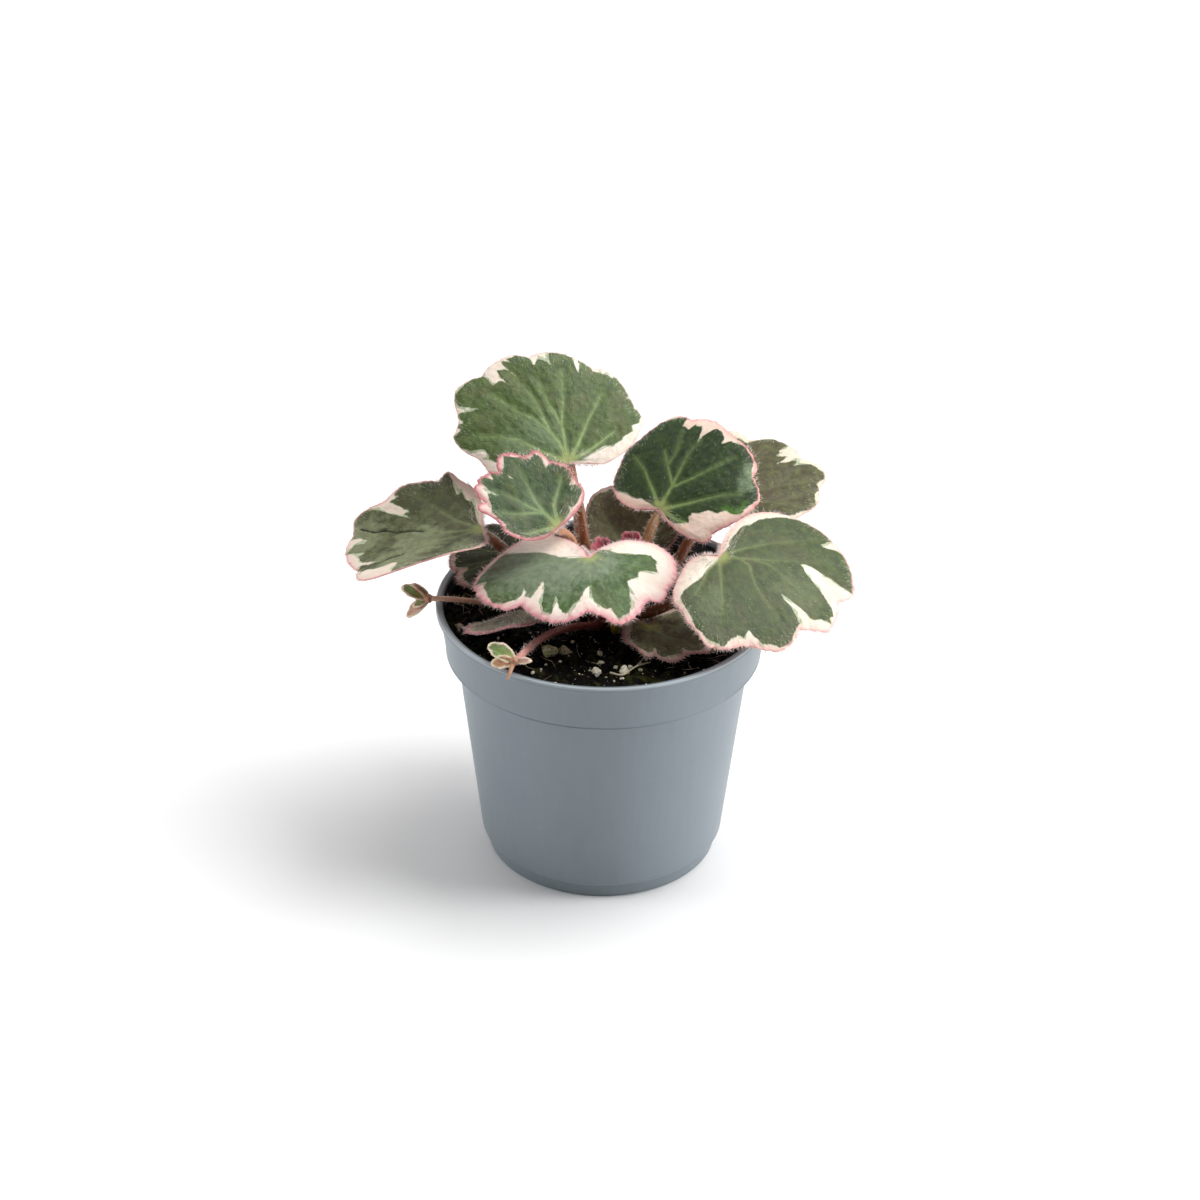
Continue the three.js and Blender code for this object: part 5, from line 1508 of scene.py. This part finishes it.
for number, (node, (knots, aim, scale)) in enumerate(YOUNG.items()):
    draw = np.random.default_rng(600 + number)
    _, _, up = leaf_axes(aim)
    outline = [(angle, scale * reach) for angle, reach in YOUNG_OUTLINE]
    leaf = {**CRIMSON, "at": np.array(knots[-1]) + 0.3 * up, "aim": aim, "outline": outline}
    blade, net = blade_part(leaf, upper_finish(f"upper_{node}", leaf), crimson_under, draw)
    path = smooth_path(knots, 0.4)
    stem = stem_part(path, np.linspace(0.75, 0.6, len(path)), 14, crimson_stem, 2.0 * number)
    hairs = stem_bristles(path, 0.68, 9, draw, length=(0.4, 1.0))
    parts = [blade, stem, hairs, *blade_bristles(net, leaf, draw)]
    make_piece(f"{node}_folded", parts, [node])

# %% The bud
BUD_AT = (3, -10.6, 69.2)
BUD_SIZE = (1.5, 1.5, 2.1)
BUD_LEAN = math.radians(20)
bud_points, bud_faces = ball(4)
seam = 1 + 0.06 * np.cos(3 * np.arctan2(bud_points[:, 1], bud_points[:, 0])) * (1 - np.abs(bud_points[:, 2]))
bud_x, bud_y, bud_z = (bud_points * seam[:, None] * BUD_SIZE).T
bud_points = np.c_[bud_x, bud_y * math.cos(BUD_LEAN) - bud_z * math.sin(BUD_LEAN),
                   bud_y * math.sin(BUD_LEAN) + bud_z * math.cos(BUD_LEAN)] + BUD_AT
bud_skin = Finish("bud_skin", roughness=0.45, Subsurface_Weight=0.2, Subsurface_Radius=(0.001, 0.001, 0.0003))
cloud = bud_skin.patches(bud_skin.place(), 1.2, 0.35, 0.65)
bud_skin.paint(bud_skin.mix(cloud, colour("#c2bf4c"), colour("#e0dc78")))
make_piece("shoot_bud", [skinned((bud_points, bud_faces), bud_skin)], ["bud"])

# %% [markdown]
# ## Runners and plantlets
# The plant spreads by thread-like runners that arch out of the pot and form a tiny plant at the tip. Each
# plantlet is a knot with a few folded leaflets, and the one in front has sent out a root. The leaflets are
# blades again, a few millimetres long, so the same function makes them.

# %% Runners
RUNNERS = {
    "stolon_1": ((203, OUTER), (0.85, 0.7), [
        (-12, -3.9, 70.6), (-20, -4.3, 71.6), (-31, -4, 72.4), (-38.5, -3.2, 72.6), (-42.3, -2.6, 72.4),
        (-43.7, -2.4, 72.3)]),
    "stolon_2": ((272, OUTER), (1.05, 0.9), [
        (-2.4, -9.9, 69.3), (-5.9, -10.8, 69.6), (-9.4, -12.3, 69.8), (-12.9, -15, 70.1),
        (-15.8, -18.8, 70.5), (-18.1, -24, 71.5), (-20.2, -30.4, 72.8), (-21.1, -33.2, 73.5),
        (-21.5, -34.4, 73.9)]),
}
RUNNER_STEP = 0.7
tan_runner = stem_finish("runner_tan", "#7d4c36", "#c0927a", "#cfa68e", "#dcbba4", "#a87860")
rosy_runner = stem_finish("runner_rosy", "#7d443e", "#bb7670", "#c4857c", "#cf9c94", "#9e5a54")
for number, (node, (root, ends, via)) in enumerate(RUNNERS.items()):
    draw = np.random.default_rng(700 + number)
    path = smooth_path(stalk_knots(root, via), RUNNER_STEP)
    radii = np.linspace(*ends, len(path)) * (1 + 0.4 * np.exp(-np.arange(len(path)) * RUNNER_STEP / 2))
    hairs = stem_bristles(path, radii, 5, draw)
    stem = stem_part(path, radii, 16, (tan_runner, rosy_runner)[number], 5.0 * number)
    make_piece(f"runner_{number + 1}", [stem, hairs], [node])

# %% Plantlets
LEAFLET_OUTLINE = [(-85, 0.16), (-60, 0.3), (-40, 0.5), (-26, 0.74), (-17, 0.8), (-10, 0.93), (0, 1),
                   (12, 0.92), (19, 0.8), (28, 0.72), (40, 0.5), (60, 0.3), (85, 0.16)]
KNOT_RADIUS = 1.2


def narrowed(outline, length, width):
    """An outline of reaches up to 1 made as long as the leaflet, and narrower than long."""
    keys = []
    for angle, reach in outline:
        along, across = math.cos(math.radians(angle)), width * math.sin(math.radians(angle))
        keys.append((math.degrees(math.atan2(across, along)), length * reach * math.hypot(along, across)))
    return keys


PLANTLETS = {
    "plantlet_1": ((-44.3, -2.3, 72.3), [
        ("green", 165, 28, -35, 7, 0.78), ("rosy", 140, 42, 20, 5.2, 0.6), ("green", 200, -12, -30, 3.8, 0.9),
        ("peach", 205, -25, -35, 6.6, 0.65)], []),
    "plantlet_2": ((-21.7, -35, 74.1), [
        ("green", 153, 30, -35, 7.4, 0.78), ("amber", 190, 4, -45, 5, 0.9), ("rosy", -20, 20, 40, 3.9, 0.6)],
        [(-22, -35.9, 73.6), (-22.6, -38.4, 73), (-23.2, -39.5, 71.8)]),
}
LEAFLET = {**HABIT, **dict(
    leaf="#71893a", deep="#52682a", olive="#7d8246", grey=0.1, band=0.6, rim=0.35, flush=0.5,
    pink=("#dcb48e", "#f2dcc0"), teeth=0.06, bend=(-1.5, 2.5), thickness=0.6, relief=0.3, ripple=0,
    net=0.18, vein_width=0.35, ribs=0.3, fringe=1.5, down=0.4, hair=0.4)}
LEAFLET_TINTS = {
    "green": {},
    "amber": dict(leaf="#c08450", deep="#9c6238", olive="#ae7446",
                  vein="#d8a884", heart="#a86a3c", fleck="#e0b898"),
    "peach": dict(leaf="#d8ab90", deep="#c08f78", olive="#c89a82",
                  vein="#e6c8b4", heart="#b98a70", fleck="#ecd4c4"),
    "rosy": dict(leaf="#c78f88", deep="#ae7470", olive="#b98078",
                 vein="#dcb4ac", heart="#b07a6c", fleck="#e6c4bc"),
}
leaflet_tops = {kind: upper_finish(f"leaflet_{kind}", {**LEAFLET, **tints})
                for kind, tints in LEAFLET_TINTS.items()}
leaflet_under = under_finish("leaflet_under", "#b98a7c", "#96756a")
knot_skin = stem_finish("knot_skin", "#9a6a52", "#a7795e", "#b08a6a", "#c0a080", "#8a5a48")
for number, (node, (knot, leaflets, root)) in enumerate(PLANTLETS.items()):
    draw = np.random.default_rng(800 + number)
    shape, faces = ball(3)
    lump = knobbly(shape, draw, 0.25) * 0.95 * KNOT_RADIUS + knot
    parts = [skinned((lump, faces), knot_skin, along=np.full(len(shape), 0.5), streaks=shape)]
    for kind, azimuth, rise, roll, length, width in leaflets:
        aim = (azimuth, rise, roll)
        tip, _, _ = leaf_axes(aim)
        leaf = {**LEAFLET, "at": np.array(knot) + 0.4 * KNOT_RADIUS * tip, "aim": aim,
                "outline": narrowed(LEAFLET_OUTLINE, length, width)}
        blade, net = blade_part(leaf, leaflet_tops[kind], leaflet_under, draw)
        parts += [blade, *blade_bristles(net, leaf, draw)]
    if root:
        path = smooth_path(root, 0.4)
        parts.append(stem_part(path, np.linspace(0.6, 0.35, len(path)), 12, knot_skin, 9.0))
    make_piece(f"{node}_leaflets", parts, [node])
